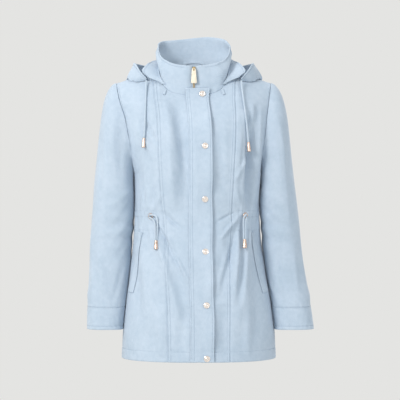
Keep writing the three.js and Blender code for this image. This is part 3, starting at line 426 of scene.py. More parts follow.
# %% The rounded form
def crest_at(face, x):
    """The shoulders' top: level in the neck in front, rising to the spine behind, then sloping."""
    out = (x - NECK_HALF) / (SHOULDER_TIP_HALF - NECK_HALF)
    inward = np.maximum(0, 1 - (x / NECK_HALF) ** 2) ** 0.8
    inside = NECK_SIDE_Z + (46 * inward if face == "back" else 0)
    return np.where(x >= NECK_HALF, mix(NECK_SIDE_Z, SHOULDER_TIP_Z, out), inside)


def rounding_at(face, x):
    """How far below the crest the body reaches its full depth."""
    return 125 + 75 * np.maximum(0, 1 - (x / 110) ** 2) if face == "front" else 130 + 0 * x


def top_edge_at(face, x):
    """The height of the neck seam, a rounded cut, and beyond the neck's width of the crest."""
    cut = np.maximum(0, 1 - (x / NECK_HALF) ** 3) ** (1 / 3)
    neckline = NECK_SIDE_Z + (-NECK_FRONT_DROP if face == "front" else NECK_BACK_RISE) * cut
    return np.where(x < NECK_HALF, neckline, crest_at(face, x))


def cut_angle(face, z):
    """The angle at which the armhole cuts the rounded section off; a right angle below it."""
    drop = np.clip((ARMHOLE_MIDDLE_Z - z) / (ARMHOLE_MIDDLE_Z - UNDERARM_Z), 0, 1)
    armhole = ARMHOLE_DEPTH * np.sqrt(1 - drop * drop)
    cut = np.arccos((armhole / depth_at[face](z)) ** (1 / ROUND))
    return np.where(z <= UNDERARM_Z, np.pi / 2, cut)


def body_raw(face, side, turn, z):
    """A point of the bare form; turn is 0 at the middle and 1 at the side seam or the armhole.

    Across: half the width times a power of the sine of the turned angle. Deep: the depth times
    the same power of its cosine, drawn in near the crest by a power of a rounded arc.
    """
    cut = cut_angle(face, z)
    x = half_at(z) * signed_power(np.sin(turn * cut) / np.sin(cut), ROUND)
    full = depth_at[face](z) * signed_power(np.cos(turn * cut), ROUND)
    out = np.abs(x)
    below = np.clip((crest_at(face, out) - z) / rounding_at(face, out), 0, 1)
    depth = full * (1 - (1 - below) ** 2) ** CREST_POWER
    return vector(middle_at(z) + SIGN[side] * x, SIGN[face] * depth, z)


def turn_of(face, x, z):
    """The turn at which the form is x from its middle."""
    cut = cut_angle(face, z)
    return np.arcsin(np.clip(np.abs(x / half_at(z)) ** (1 / ROUND) * np.sin(cut), 0, 1)) / cut


def body_normal(face, side, turn, z):
    """The outward direction of the bare form, from small steps across it and up it."""
    step = 0.004
    raw = lambda turn, z: body_raw(face, side, turn, z)
    x = np.abs(raw(turn, z)[..., 0] - middle_at(z))
    high = np.minimum(z + 1, crest_at(face, x) - 0.05)
    across = raw(turn + step, high - 1) - raw(turn - step, high - 1)
    up = raw(turn, high) - raw(turn, high - 2)
    return unit(np.cross(across, up)) * -SIGN[face] * SIGN[side]


# %% [markdown]
# ## Creases
# Light cloth shows its tensions: the drawcord gathers it at the waist and long soft folds run
# from there to the hem, and the sleeves drag it below the shoulders. Folds like these decide
# where light falls, so they are placed one by one from the photograph, and not left to chance.
# Each is a line with a width and a height, a hump or a hollow that fades at both ends. A fold
# with a lean is steeper on one side, as a fold that hangs over is, and runs in a slight curve.

# %% Folds of the body
# By face and side: from x and z, to x and z, width, height of the ridge, lean. The first four,
# five, three and three of the lists are large ones that the solids have too.
FOLDS = {
    ("front", "left"): [
        (128, -80, 122, -320, 26, -4, 0), (112, -330, 20, -560, 34, -6, 0),
        (84, -350, 40, -620, 30, 5, 0), (140, -370, 110, -640, 34, 5, 0),
        (104, -338, 58, -430, 16, 6.5, 0.7), (98, -352, 46, -470, 14, -6.5, 0),
        (108, -360, 68, -520, 18, 6, 0.6), (86, -332, 40, -378, 12, -4.5, 0),
        (74, -396, 24, -510, 16, 6, 0.8), (60, -480, 26, -610, 18, -5.5, 0),
        (118, -362, 104, -430, 10, 3.5, 0.3), (128, -356, 126, -420, 9, -3.1, 0),
        (136, -352, 140, -410, 9, 3, 0.3), (122, -330, 126, -270, 10, 3.3, 0.3),
        (112, -326, 108, -262, 9, -2.6, 0), (134, -330, 142, -282, 9, 2.8, 0.2),
        (104, -330, 86, -284, 10, 2.6, 0.3), (42, -60, 28, -310, 19, -4.2, 0),
        (58, -90, 48, -250, 17, 2.8, 0.5), (146, -120, 112, -206, 16, 3.7, 0.5),
        (132, -104, 98, -170, 12, -3, 0), (88, -560, 96, -690, 22, 4.2, 0.3),
        (150, -430, 148, -600, 20, -4.2, 0), (36, -560, 44, -690, 20, -3.3, 0),
        (42, -50, 24, -350, 33, -11, 0), (72, -56, 60, -330, 18, 5, 0),
        (150, -170, 142, -330, 15, -4, 0),
    ],
    ("front", "right"): [
        (138, -70, 120, -330, 26, -6, 0), (112, -80, 98, -320, 24, 4, 0),
        (96, -360, 50, -560, 30, -6, 0), (120, -380, 95, -640, 30, 5, 0),
        (150, -380, 140, -660, 30, -5, 0), (108, -336, 60, -402, 13, 4.5, 0.5),
        (112, -352, 76, -480, 15, -4.9, 0), (104, -366, 92, -540, 16, 4.5, 0.4),
        (94, -334, 46, -362, 11, -3.1, 0), (74, -420, 48, -540, 16, 3.9, 0.5),
        (128, -360, 132, -440, 10, 3.7, 0.3), (138, -354, 146, -420, 9, -3.1, 0),
        (120, -332, 122, -262, 10, 3.9, 0.3), (130, -330, 138, -276, 9, -3, 0),
        (110, -330, 96, -276, 10, 3, 0.2), (52, -110, 60, -300, 20, -3.5, 0),
        (144, -60, 130, -176, 15, 4.5, 0.5), (156, -66, 146, -180, 11, -3.9, 0),
        (126, -96, 112, -240, 12, -4.2, 0), (132, -180, 92, -262, 13, 3.3, 0.5),
        (58, -560, 66, -690, 22, -4.2, 0), (126, -520, 122, -690, 20, 4.2, 0.3),
        (44, -360, 52, -470, 17, -2.8, 0), (137, -84, 127, -336, 14, -13, 0),
        (121, -76, 113, -330, 13, 6, 0.4), (120, -352, 98, -570, 13, -9, 0),
        (106, -352, 84, -500, 11, 5, 0.5), (155, -110, 148, -310, 13, 6, 0),
    ],
    ("back", "left"): [
        (60, -360, 40, -640, 34, 5, 0), (110, -350, 120, -640, 34, -5, 0),
        (90, -120, 60, -320, 34, -4, 0), (118, -352, 96, -440, 13, 3.5, 0.4),
        (84, -354, 72, -450, 12, -3, 0), (44, -356, 54, -430, 11, 2.8, 0.3),
        (20, -352, 14, -440, 12, -2.6, 0), (128, -330, 120, -250, 12, 3.2, 0.3),
        (70, -332, 66, -262, 11, -2.8, 0), (30, -334, 34, -270, 11, 2.6, 0.3),
        (148, -130, 116, -220, 16, 3.2, 0.5), (80, -560, 84, -690, 22, -3.5, 0),
        (24, -520, 30, -690, 22, 3.2, 0.3),
    ],
    ("back", "right"): [
        (20, -365, 30, -660, 36, -5, 0), (90, -355, 105, -640, 34, 5, 0),
        (110, -110, 80, -320, 34, 4, 0), (112, -352, 90, -446, 13, -3.5, 0),
        (70, -354, 60, -440, 12, 3.2, 0.4), (40, -356, 48, -424, 11, -2.6, 0),
        (128, -354, 134, -440, 12, 2.9, 0.3), (124, -330, 116, -254, 12, -2.9, 0),
        (86, -332, 80, -256, 11, 2.9, 0.3), (46, -334, 52, -268, 11, -2.6, 0),
        (150, -124, 118, -212, 15, 3.2, 0.5), (60, -540, 66, -690, 22, 3.5, 0.3),
        (130, -500, 136, -680, 22, -3.5, 0),
    ],
}


# Soft light from the front flattens folds, so those of the front are drawn a quarter higher.
FOLD_GAIN = {"front": 1.25, "back": 1.0}
FOLD_BEND = 0.12


def fold_lift(face, side, x, z):
    """How far the folds lift the cloth."""
    lift = np.zeros(np.broadcast(x, z).shape)
    for x1, z1, x2, z2, width, height, lean in FOLDS[face, side]:
        along = np.clip((z1 - z) / (z1 - z2), 0, 1)
        bend = FOLD_BEND * width * np.sin(2 * np.pi * along)
        off = (x - mix(x1, x2, along) - (bend if lean else 0)) / width
        off = off + lean * off * (1 - off * off) * (np.abs(off) < 1)
        lift = lift + fold(off, along, height)
    return lift * FOLD_GAIN[face]


# %% [markdown]
# ## Seams
# A felled seam folds both edges under and is stitched down twice, so it shows as a narrow flat
# band between two dimpled rows, with a sharp line at one side. The cloth puckers a little along
# it. All of this is well under a millimetre high, but low light finds it.

# %% Relief of the sewing
# The far and near rows of a felled seam from its edge, the hem's depth, and the waist casing's
# rows by their height and where they start, out from the middle.
FELL_WIDTH, FELL_NEAR = 7.4, 1.8
FELL_ROWS = (FELL_NEAR, FELL_WIDTH)
HEM_BAND = 25
CASING_ROWS = (-332, -347, -380)
CASING_INNER = {"front": 102, "back": 0}
# About how many millimetres one turn is at the armhole, and how far its seam lies inside the edge.
ARMHOLE_ARC, ARMHOLE_SEAM = 190, 0.6


def dent(off, width):
    """A narrow hollow, 1 at off = 0: e to the power of minus the square of off over width."""
    return np.exp(-((off / width) ** 2))


def felled(off):
    """A felled seam by the distance from its edge: a sharp line, then a band with two rows."""
    band = ease((off + 0.5) / 2) * ease((FELL_WIDTH + 2.5 - off) / 2.5)
    rows = sum(dent(off - row, 0.9) for row in FELL_ROWS)
    return 0.75 * band - 0.45 * rows * band - 0.6 * dent(off + 0.2, 1.0)


def sewn_lift(face, side, x, z, turn):
    """The sewing's relief on the body: seams, hem and waist casing, with puckers beside each."""
    lift = np.zeros(np.broadcast(x, z, turn).shape)
    if face == "front":
        off = princess_at[side](z) - x
        pucker = 0.45 * ripple(z / 2.6, x / 9, 1.3) * dent(off, 13)
        lift = lift + felled(off) + pucker * (off**2 > 0.04)
    above = z - HEM_Z
    lift = lift + 0.4 * ease((HEM_BAND - above) / 4) - 0.5 * dent(above - HEM_BAND, 1.2)
    lift = lift + 0.5 * ripple(x / 3.1, z / 12, 2.2) * dent(above - HEM_BAND, 14)
    from_edge = (1 - turn) * ARMHOLE_ARC
    upper = ease((z - UNDERARM_Z) / 10)
    lift = lift + felled(from_edge - ARMHOLE_SEAM) * upper * ease(from_edge / 1.2)
    pucker = 0.6 * upper * ripple(z / 3.0, x / 14, 3.1) * dent(from_edge - 6, 10)
    lift = lift + pucker * ease(from_edge / 4)
    reach = ease((x - CASING_INNER[face] + 4) / 4) * ease(from_edge / 6)
    middle = (CASING_ROWS[0] + CASING_ROWS[-1]) / 2
    inside = ease((26 - np.abs(z - middle)) / 5)
    rows = sum(dent(z - row, 1.3) for row in CASING_ROWS)
    gathers = ripple(x / 2.4 + 1.2 * np.sin(z / 21), z / 46, 4.2) * dent(z - middle, 46)
    return lift + reach * (0.5 * inside - 0.6 * rows + 1.8 * gathers)


def body_point(face, side, turn, z, lift=0.0):
    """Points of the sewn, creased body and their outward directions."""
    point, normal = body_raw(face, side, turn, z), body_normal(face, side, turn, z)
    x = np.abs(point[..., 0] - middle_at(z))
    on_crest = (x > NECK_HALF - 0.5) & (z > crest_at(face, x) - 0.02)
    on_side = (turn > 0.9999) & (z <= UNDERARM_Z + 0.01)
    normal[..., 1] = np.where(on_crest | on_side, 0, normal[..., 1])
    normal[..., 2] = np.where(on_side & ~on_crest, 0, normal[..., 2])
    normal = unit(normal)
    raised = lift + fold_lift(face, side, x, z) * ease((1 - turn) * 6)
    raised = raised + sewn_lift(face, side, x, z, turn)
    point = point + normal * np.expand_dims(raised, -1)
    point[..., 1] = SIGN[face] * np.maximum(np.abs(point[..., 1]), SEAM_GAP / 2)
    return point, normal


def on_body(face, side, x, z, lift=0.0):
    """Points of the body at a distance from its middle and a height, moved out by lift."""
    x, z = np.broadcast_arrays(np.asarray(x, float), np.asarray(z, float))
    return body_point(face, side, turn_of(face, x, z), z, lift)


# %% The panels
# The underarm as a share of the height from the hem to the shoulder's tip.
UNDERARM = (UNDERARM_Z - HEM_Z) / (SHOULDER_TIP_Z - HEM_Z)


def row_shares(lower, upper):
    """Shares of a column's height: even below the underarm, crowded at both ends above it."""
    arc = (1 - np.cos(np.pi * np.arange(upper + 1) / upper)) / 2
    return np.concatenate([UNDERARM * np.arange(lower) / lower, mix(UNDERARM, 1, arc)])


SHARES = row_shares(148, 84)[:, None]


def neck_column_x(share):
    return mix(64, NECK_HALF, share**3)


def column_heights(face, top_x):
    return mix(HEM_Z, top_edge_at(face, top_x) - BELOW_CREST, SHARES)


def centre_columns(face, side, start_x, count):
    """Columns from the zip or the middle to the neck's corner, closer where the neck turns up."""
    share = np.linspace(0, 1, count + 1)[None, :]
    top_x = mix(start_x, NECK_HALF, np.sin(np.pi / 2 * share) ** (2 / 3))
    z = column_heights(face, top_x)
    x = mix(mix(start_x, neck_column_x(SHARES), share), top_x, SHARES**3)
    return body_point(face, side, turn_of(face, x, z), z)


def corner_columns(face, side, end_at, count):
    """Columns from the neck's corner to a seam."""
    share = np.linspace(0, 1, count + 1)[None, 1:]
    top_x = mix(NECK_HALF, end_at(crest_at(face, end_at(NECK_SIDE_Z))), share)
    z = column_heights(face, top_x)
    corner = mix(neck_column_x(SHARES), NECK_HALF, SHARES**3)
    return body_point(face, side, turn_of(face, mix(corner, end_at(z), share), z), z)


def side_columns(face, side, start_at, top_start, count):
    """Columns from a seam to the side seam and the armhole, even in their turn.

    Each ends on the crest: its top is found in a few rounds, as the crest's height and the place
    across at one turn depend on each other.
    """
    share = np.linspace(0, 1, count + 1)[None, :]
    share = mix(share, np.sin(np.pi / 2 * share), 0.35)
    top_x = mix(top_start, SHOULDER_TIP_HALF, share)
    for _ in range(5):
        top_z = crest_at(face, top_x)
        top_turn = mix(turn_of(face, top_start, top_z), 1, share)
        top_x = np.abs(body_raw(face, side, top_turn, top_z)[..., 0] - middle_at(top_z))
    z = column_heights(face, top_x)
    return body_point(face, side, mix(turn_of(face, start_at(z), z), 1, share), z)


def joined(*parts):
    """Grids of points and normals, set side by side."""
    return tuple(np.concatenate(arrays, axis=1) for arrays in zip(*parts))


for side in SIDES:
    seam = lambda z: princess_at[side](z) - SEAM_GAP / 2
    beyond = lambda z: princess_at[side](z) + SEAM_GAP / 2
    centre = joined(centre_columns("front", side, ZIP_HALF + SEAM_GAP, 30),
                    corner_columns("front", side, seam, 12))
    cloth_wall(f"front_centre_{side}_cloth", *centre, CLOTH, f"front_centre_{side}")
    seam_top = beyond(crest_at("front", beyond(NECK_SIDE_Z)))
    outside = side_columns("front", side, beyond, seam_top, 56)
    cloth_wall(f"front_side_{side}_cloth", *outside, CLOTH, f"front_side_{side}")


def back_half(side):
    middle = centre_columns("back", side, 0, 30)
    corner = lambda z: mix(neck_column_x(SHARES), NECK_HALF, SHARES**3)
    points, normals = side_columns("back", side, corner, NECK_HALF, 62)
    return joined(middle, (points[:, 1:], normals[:, 1:]))


left_back, right_back = back_half("left"), back_half("right")
back = joined([a[:, :0:-1] for a in left_back], right_back)
cloth_wall("back_cloth", *back, CLOTH, "back")


# %% [markdown]
# ## Sleeves and cuffs
# A sleeve is a tube of rounded rings between a table of outermost and innermost points, and its
# first ring is the armhole itself. The head is eased into the armhole with small gathers, the
# elbow wrinkles across the inside of the bend, and the cloth slumps a little above the cuff.

# %% Tables of the arms
# In each row: outermost and innermost z, half depth, middle y, then the outermost and innermost
# x of the left arm and of the right one.
SLEEVE = np.array([
    (-9, -238, 58, 0, 202, 160.7, 188, 160.7), (-14, -241, 61, 1, 214, 160.9, 199, 160.9),
    (-29, -245, 64, 2, 226, 161.1, 211, 161.1), (-56, -251, 67, 3, 236, 161.3, 221, 161.3),
    (-95, -259, 69, 4, 243, 161.4, 229, 161.4), (-145, -270, 71, 5, 249, 161.4, 235, 161.4),
    (-205, -287, 72, 6, 255, 161.4, 241, 161.5), (-265, -308, 71, 7, 261, 161.5, 248, 161.8),
    (-325, -337, 68, 8, 265, 162.2, 255.5, 163), (-375, -375, 65, 9, 269, 164.6, 261, 166),
    (-420, -420, 61.5, 8, 272, 168.5, 265, 168.5), (-465, -465, 59, 5, 273, 170.6, 270.5, 174),
    (-510, -510, 56, 1, 274.5, 175.8, 278, 181), (-545, -545, 54, -4, 276, 181, 284, 188),
    (-576, -576, 52, -8, 277, 184.8, 288, 192.6),
], float)
CUFF = np.array([
    (-576, -576, 52, -8, 277, 184.8, 288, 192.6),
    (-602, -602, 50, -11, 277.5, 187.6, 291.5, 195.8),
    (-629, -629, 48, -14, 277, 190.2, 294.5, 199),
], float)
# The inner side leans over the body's edge by ARM_LEAN, in mm, as the arm hangs. The cuff goes on
# with it, at the same angle and as wide.
ARM_LEAN, LEAN_ANGLE, LEAN_WIDTH = 6.0, 150, 62
# Folds and wrinkles of each sleeve: angle and share along at both ends, width in mm, height.
# The angle is 0 at the outermost line and 90 in the middle of the front.
ARM_FOLDS = {
    "left": [
        (166, 0.02, 160, 0.66, 60, 2.6),
        (LEAN_ANGLE, 0.36, LEAN_ANGLE, 1.64, LEAN_WIDTH, ARM_LEAN), (150, 0.42, 70, 0.6, 15, 1.9),
        (150, 0.5, 90, 0.66, 14, -1.6), (150, 0.58, 84, 0.72, 14, 1.5),
        (140, 0.68, 100, 0.78, 13, -1.2), (30, 0.3, 66, 0.55, 16, -2),
        (60, 0.72, 92, 0.95, 15, 2.3), (128, 0.76, 110, 0.97, 13, -2.2),
        (20, 0.64, 48, 0.94, 15, 1.9), (96, 0.1, 104, 0.44, 14, -2.4), (70, 0.08, 84, 0.4, 14, 2),
        (250, 0.45, 300, 0.7, 16, 2.4), (230, 0.6, 290, 0.8, 15, -2.4),
        (270, 0.08, 262, 0.42, 16, -2.2), (320, 0.3, 340, 0.8, 18, 1.8),
    ],
    "right": [
        (166, 0.02, 160, 0.66, 60, 2.6),
        (LEAN_ANGLE, 0.36, LEAN_ANGLE, 1.64, LEAN_WIDTH, ARM_LEAN), (152, 0.4, 84, 0.58, 15, 1.8),
        (150, 0.52, 92, 0.64, 14, -1.5), (145, 0.62, 104, 0.74, 14, 1.3),
        (100, 0.1, 92, 0.5, 15, -2.6), (74, 0.07, 62, 0.42, 14, 2.2), (44, 0.3, 58, 0.7, 17, -1.9),
        (60, 0.7, 76, 0.96, 14, 2.2), (112, 0.74, 98, 0.98, 13, -2.4), (24, 0.66, 34, 0.95, 14, 2),
        (150, 0.82, 128, 0.99, 11, 2), (246, 0.44, 296, 0.68, 16, 2.4),
        (232, 0.58, 286, 0.78, 15, -2.2), (276, 0.08, 266, 0.4, 16, -2.2),
        (318, 0.34, 336, 0.82, 18, 1.8),
    ],
}
# Millimetres round the arm for one radian, and along the sleeve and the cuff in all.
ARM_GIRTH, SLEEVE_LONG, CUFF_LONG = 56, 590, 53
ARM_POWER, HEAD_SHARE, CUFF_RAISED, CUFF_CLOTH = 0.84, 0.3, 0.6, CLOTH + 0.6


def arm_oval(table, side, share, angle):
    """A ring between its outermost and innermost points, squared a little by a power."""
    columns = (0, 1, 2, 3, 4, 5) if side == "left" else (0, 1, 2, 3, 6, 7)
    curves = [through(np.arange(len(table)), table[:, k]) for k in columns]
    out_z, in_z, depth, mid_y, out_x, in_x = (curve(share * (len(table) - 1)) for curve in curves)
    across = signed_power(np.cos(angle), ARM_POWER) / 2
    deep = signed_power(np.sin(angle), ARM_POWER)
    x = SIGN[side] * ((out_x + in_x) / 2 + (out_x - in_x) * across)
    return vector(x, mid_y - depth * deep, (out_z + in_z) / 2 + (out_z - in_z) * across)


def armhole_ring(side, angle):
    """The edge of the body's armhole by the sleeve's angle: down the front, then up the back."""
    z = mix(HEM_Z, SHOULDER_TIP_Z - BELOW_CREST, mix(UNDERARM, 1, (1 + np.cos(angle)) / 2))
    front, front_out = body_point("front", side, np.ones_like(z), z)
    back, back_out = body_point("back", side, np.ones_like(z), z)
    on_front = (angle < np.pi)[..., None]
    point, normal = np.where(on_front, front, back), np.where(on_front, front_out, back_out)
    point[..., 1] = np.where(np.abs(point[..., 1]) < SEAM_GAP, 0, point[..., 1])
    return point, normal


def arm_lift(side, share, angle, sleeve):
    """Wrinkles that the solids have, the listed ones, gathers at both ends and sewn rows."""
    if not sleeve:
        pucker = 0.45 * ripple(angle * 14, share * 9, 5.0) * (0.4 + share)
        hem = 0.5 * ease((share - 0.84) / 0.03) - 0.5 * dent((share - 0.855) * CUFF_LONG, 1.1)
        seam = -0.5 * dent(share * CUFF_LONG - 2.2, 1.0)
        lean_in = ARM_LEAN * bump((angle - np.radians(LEAN_ANGLE)) * ARM_GIRTH / LEAN_WIDTH)
        return pucker + hem + seam + lean_in
    elbow = dent(share - 0.66, 0.07) * 1.5 * np.sin(share * 95 + angle)
    cuff = dent(share - 0.93, 0.035) * 2 * np.sin(2 * angle + 1)
    lift = elbow * np.maximum(0, np.cos(angle - 2.4)) + cuff
    for angle1, share1, angle2, share2, width, height in ARM_FOLDS[side]:
        along = np.clip((share - share1) / (share2 - share1), 0, 1)
        off = (angle - np.radians(mix(angle1, angle2, along))) * ARM_GIRTH / width
        lift = lift + fold(off, along, height)
    head = dent(share, 0.075) * ease(share / 0.012)
    lift = lift + head * (1.1 * ripple(angle * 15, share * 30, 6.1) + 1.4)
    wrist = dent(share - 1, 0.05) * 0.8 * ripple(angle * 13, share * 22, 7.3)
    return lift + wrist - 0.4 * dent((1 - share) * SLEEVE_LONG - 2, 1.4)


def arm_tube(table, side, shares, count, sleeve, lift=0.0):
    """Points and normals of a sleeve or cuff; a sleeve eases from the armhole's own shape."""
    angle = circle(count)[None, :]
    share = shares[:, None]

    def surface(share, angle):
        point = arm_oval(table, side, share, angle)
        if sleeve:
            ring = armhole_ring(side, np.mod(angle, 2 * np.pi))[0]
            fade = 1 - ease(share / HEAD_SHARE)
            point = point + (ring - arm_oval(table, side, 0 * share, angle)) * fade[..., None]
        return point

    step = 2 * np.pi / 80
    around = surface(share, angle + step) - surface(share, angle - step)
    low = np.maximum(0, share - 0.01)
    along = surface(np.minimum(1, low + 0.02), angle) - surface(low, angle)
    normal = unit(np.cross(around, along)) * SIGN[side]
    raised = lift + arm_lift(side, share, angle, sleeve)
    point = surface(share, angle) + normal * raised[..., None]
    if sleeve:
        start, start_out = armhole_ring(side, angle[0])
        leaving = unit(point[1] - start)
        bends_out = (start_out * leaving).sum(-1, keepdims=True) < 0
        point[0] = start + leaving * SEAM_GAP
        point[0, :, 0] += SIGN[side] * SEAM_GAP
        normal[0] = np.where(bends_out, start_out, normal[0])
    else:
        point[0, :, 2] -= SEAM_GAP
    return point, normal


SLEEVE_SHARES = mix(np.linspace(0, 1, 176), np.linspace(0, 1, 176) ** 1.6, 0.5)
CUFF_SHARES = np.linspace(0, 1, 34)


def sleeve_tube(side, count):
    return arm_tube(SLEEVE, side, SLEEVE_SHARES, count, True)


def cuff_tube(side, count):
    return arm_tube(CUFF, side, CUFF_SHARES, count, False, CUFF_RAISED)


for side in SIDES:
    for name, tube, cloth in (("sleeve", sleeve_tube(side, 132), CLOTH),
                              ("cuff", cuff_tube(side, 150), CUFF_CLOTH)):
        cloth_wall(f"{name}_{side}_cloth", *tube, cloth, f"{name}_{side}", around=True)


# %% [markdown]
# ## Collar
# The funnel collar stands on the neck seam. At the front it rises straight beside the zip, and
# at the sides and back it bows out over the shoulders and leans in to a softly uneven edge.

# %% The neck seam and the collar
COLLAR_TOP_HALF, COLLAR_TOP_FRONT, COLLAR_TOP_BACK, COLLAR_BULGE = 92, 84, 74, 9
COLLAR_ANGLES = (0, 30, 50, 70, 90, 115, 150, 180)
collar_top_left = through(COLLAR_ANGLES, (27, 33, 45, 66, 88, 101, 108, 113))
collar_top_right = through(COLLAR_ANGLES, (27, 33, 43, 60, 81, 104, 115, 113))
COLLAR_MIDDLE = float(middle_at(20.0))
# The oval's power, the angle beside the zip within which the collar rises straight, its sewn row.
COLLAR_POWER, COLLAR_STRAIGHT, COLLAR_ROW = 2.4, 0.35, 0.93


def collar_angle(seam):
    """The angle round the neck: 0 in front, and rising to the viewer's right."""
    return np.arctan2(seam[..., 0] - COLLAR_MIDDLE, -seam[..., 1])


def neck_seam(place):
    """The neck seam by place: 0 at the zip's left, 5 and 15 at the corners, 10 behind, 20 right."""
    place = np.asarray(place, float)
    side = np.where(place < 10, 0, 1)
    from_front = np.where(side == 0, place, 20 - place)
    points = np.zeros(place.shape + (3,))
    for number, name in enumerate(SIDES):
        for face, share, start in (("front", from_front / 5, ZIP_HALF + SEAM_GAP),
                                   ("back", (10 - from_front) / 5, 0.0)):
            x = mix(start, NECK_HALF, np.sin(np.pi / 2 * np.clip(share, 0, 1)) ** (2 / 3))
            here = on_body(face, name, x, top_edge_at(face, x) - BELOW_CREST)[0]
            chosen = (side == number) & ((from_front <= 5) == (face == "front"))
            points = np.where(chosen[..., None], here, points)
    return points


def collar_point(seam, share, lift=0.0):
    """A collar point above the neck seam: from the seam to a rounded oval at the top edge.

    Across, it moves from the seam to the oval by the share, or by its square at the sides, where
    it also bulges by the square of a sine. Up, it moves evenly.
    """
    share = np.broadcast_to(share, seam.shape[:-1])
    angle = collar_angle(seam)
    turn = np.abs(angle)
    deep = np.where(turn < np.pi / 2, COLLAR_TOP_FRONT, COLLAR_TOP_BACK)
    out_x, out_y = np.sin(angle), -np.cos(angle)
    reach = sum(np.abs(out / half) ** COLLAR_POWER
                for out, half in ((out_x, COLLAR_TOP_HALF), (out_y, deep))) ** (-1 / COLLAR_POWER)
    top_x = np.where(turn < COLLAR_STRAIGHT, seam[..., 0], COLLAR_MIDDLE + out_x * reach)
    lean = np.sin(turn) ** 2
    across = mix(share, share * share, lean)
    bulge = COLLAR_BULGE * np.sin(np.pi * share**1.4) ** 2 * lean
    away = bulge + lift - 0.7 * lean * (1 - share)
    degrees = np.degrees(turn)
    top_z = np.where(angle < 0, collar_top_left(degrees), collar_top_right(degrees))
    z = mix(seam[..., 2] + SEAM_GAP, top_z, share)
    return vector(mix(seam[..., 0], top_x, across) + out_x * away,
                  mix(seam[..., 1], out_y * reach, across) + out_y * away, z)


def collar_outward(seam):
    """Level and away from the neck's middle, and straight to the front beside the zip."""
    angle = collar_angle(seam)
    ahead = np.abs(angle) < COLLAR_STRAIGHT
    return vector(np.where(ahead, 0, np.sin(angle)), np.where(ahead, -1, -np.cos(angle)), 0)


def collar_lift(place, share, turn):
    """Soft dents of a standing collar, a stitched edge and small puckers above the neck seam."""
    sag = 2.2 * ripple(place * 1.9, share * 2.2, 1.9) * ease(share / 0.3)
    past = share - COLLAR_ROW
    edge = 0.25 * ease(past / 0.02) - 0.3 * dent(past * 85, 1.0)
    pucker = 0.5 * ripple(place * 11, share * 5, 2.7) * dent(share, 0.16)
    return (sag + edge) * ease(turn / 0.5) + pucker


def collar_grid(places, shares):
    seam = neck_seam(places)[None, :, :] + np.zeros((len(shares), 1, 1))
    lift = collar_lift(places[None, :], shares[:, None], np.abs(collar_angle(seam)))
    return collar_point(seam, shares[:, None], lift), collar_outward(seam)


collar = collar_grid(np.linspace(0, 20, 241), np.linspace(0, 1, 44))
cloth_wall("collar_cloth", *collar, COLLAR_CLOTH, "collar", rim=0.35)


# %% [markdown]
# ## Hood
# The hood is folded back on the shoulders, empty, and hangs as an open trough round the neck.
# Each of its sections runs from the inner rim down to the neck seam, out over the shoulder to
# the bottom of the trough and up to the outer rim. A table gives three points of eight sections
# from the front corner to the middle of the back, and curves join them both ways.

# %% The hood's sections and its folds
# Out from the neck's middle, y and z of the inner rim, of the trough's bottom and of the outer rim.
HOOD = np.array([
    (114, -60, 3, 118, -48, -10, 119, -62, -2), (129, -49, 20, 145, -38, -8, 135, -51, 18),
    (116, -25, 39, 162, -16, 0, 147, -31, 37), (108, 4, 46, 169, 12, 0, 151, -3, 42),
    (100, 30, 52, 172, 44, -31, 153, 38, 45), (90, 54, 57, 163, 84, -80, 144, 83, 46),
    (66, 80, 62, 128, 116, -130, 111, 121, 43), (0, 94, 64, 0, 142, -168, 0, 150, 35),
    (-66, 80, 62, -128, 116, -130, -111, 121, 43),
], float)
HOOD_FIRST_SEAM, HOOD_LAST_SEAM = 2.5, 10
HOOD_CLEARANCE = {"front": 2.8, "back": 3.4}
HOOD_OUTER_ROW, HOOD_INNER_ROW = 2.85, 0.13
# Folds of the hood: place along it at both ends, from -1 at the viewer's left front corner to 1,
# place down its section at both ends, from 0 at the inner rim to 3 at the outer, width, height.
HOOD_FOLDS = [
    (-0.86, 1.1, -0.66, 2.9, 0.05, 3.0), (-0.74, 1.0, -0.52, 2.7, 0.05, -3.0),
    (-0.60, 1.1, -0.44, 2.8, 0.05, 2.6), (-0.92, 1.2, -0.80, 2.2, 0.035, -2.0),
    (-0.40, 1.0, -0.30, 2.9, 0.07, -3.4), (-0.22, 1.2, -0.16, 3.0, 0.07, 3.0),
    (-0.06, 1.0, -0.03, 2.6, 0.06, -2.6), (0.10, 1.2, 0.08, 2.9, 0.07, 3.2),
    (0.24, 1.0, 0.20, 2.8, 0.06, -3.0), (0.38, 1.1, 0.34, 3.0, 0.06, 2.8),
    (0.50, 1.0, 0.46, 2.7, 0.05, -2.6), (0.64, 1.1, 0.56, 2.9, 0.05, 3.0),
    (0.76, 1.0, 0.64, 2.6, 0.05, -2.8), (0.88, 1.1, 0.78, 2.4, 0.04, 2.2),
    (-0.50, 0.1, -0.42, 1.0, 0.07, 2.0), (0.46, 0.1, 0.52, 1.0, 0.07, 2.0),
    (-0.18, 0.0, -0.12, 0.9, 0.08, -2.0), (0.16, 0.0, 0.12, 0.9, 0.08, -1.8),
]


# Points over the top of the shoulders are lifted and points before or behind them pushed away.
# Between these two shares of the full depth they are moved both ways.
UP_BEFORE, OUT_AFTER = 0.62, 0.78


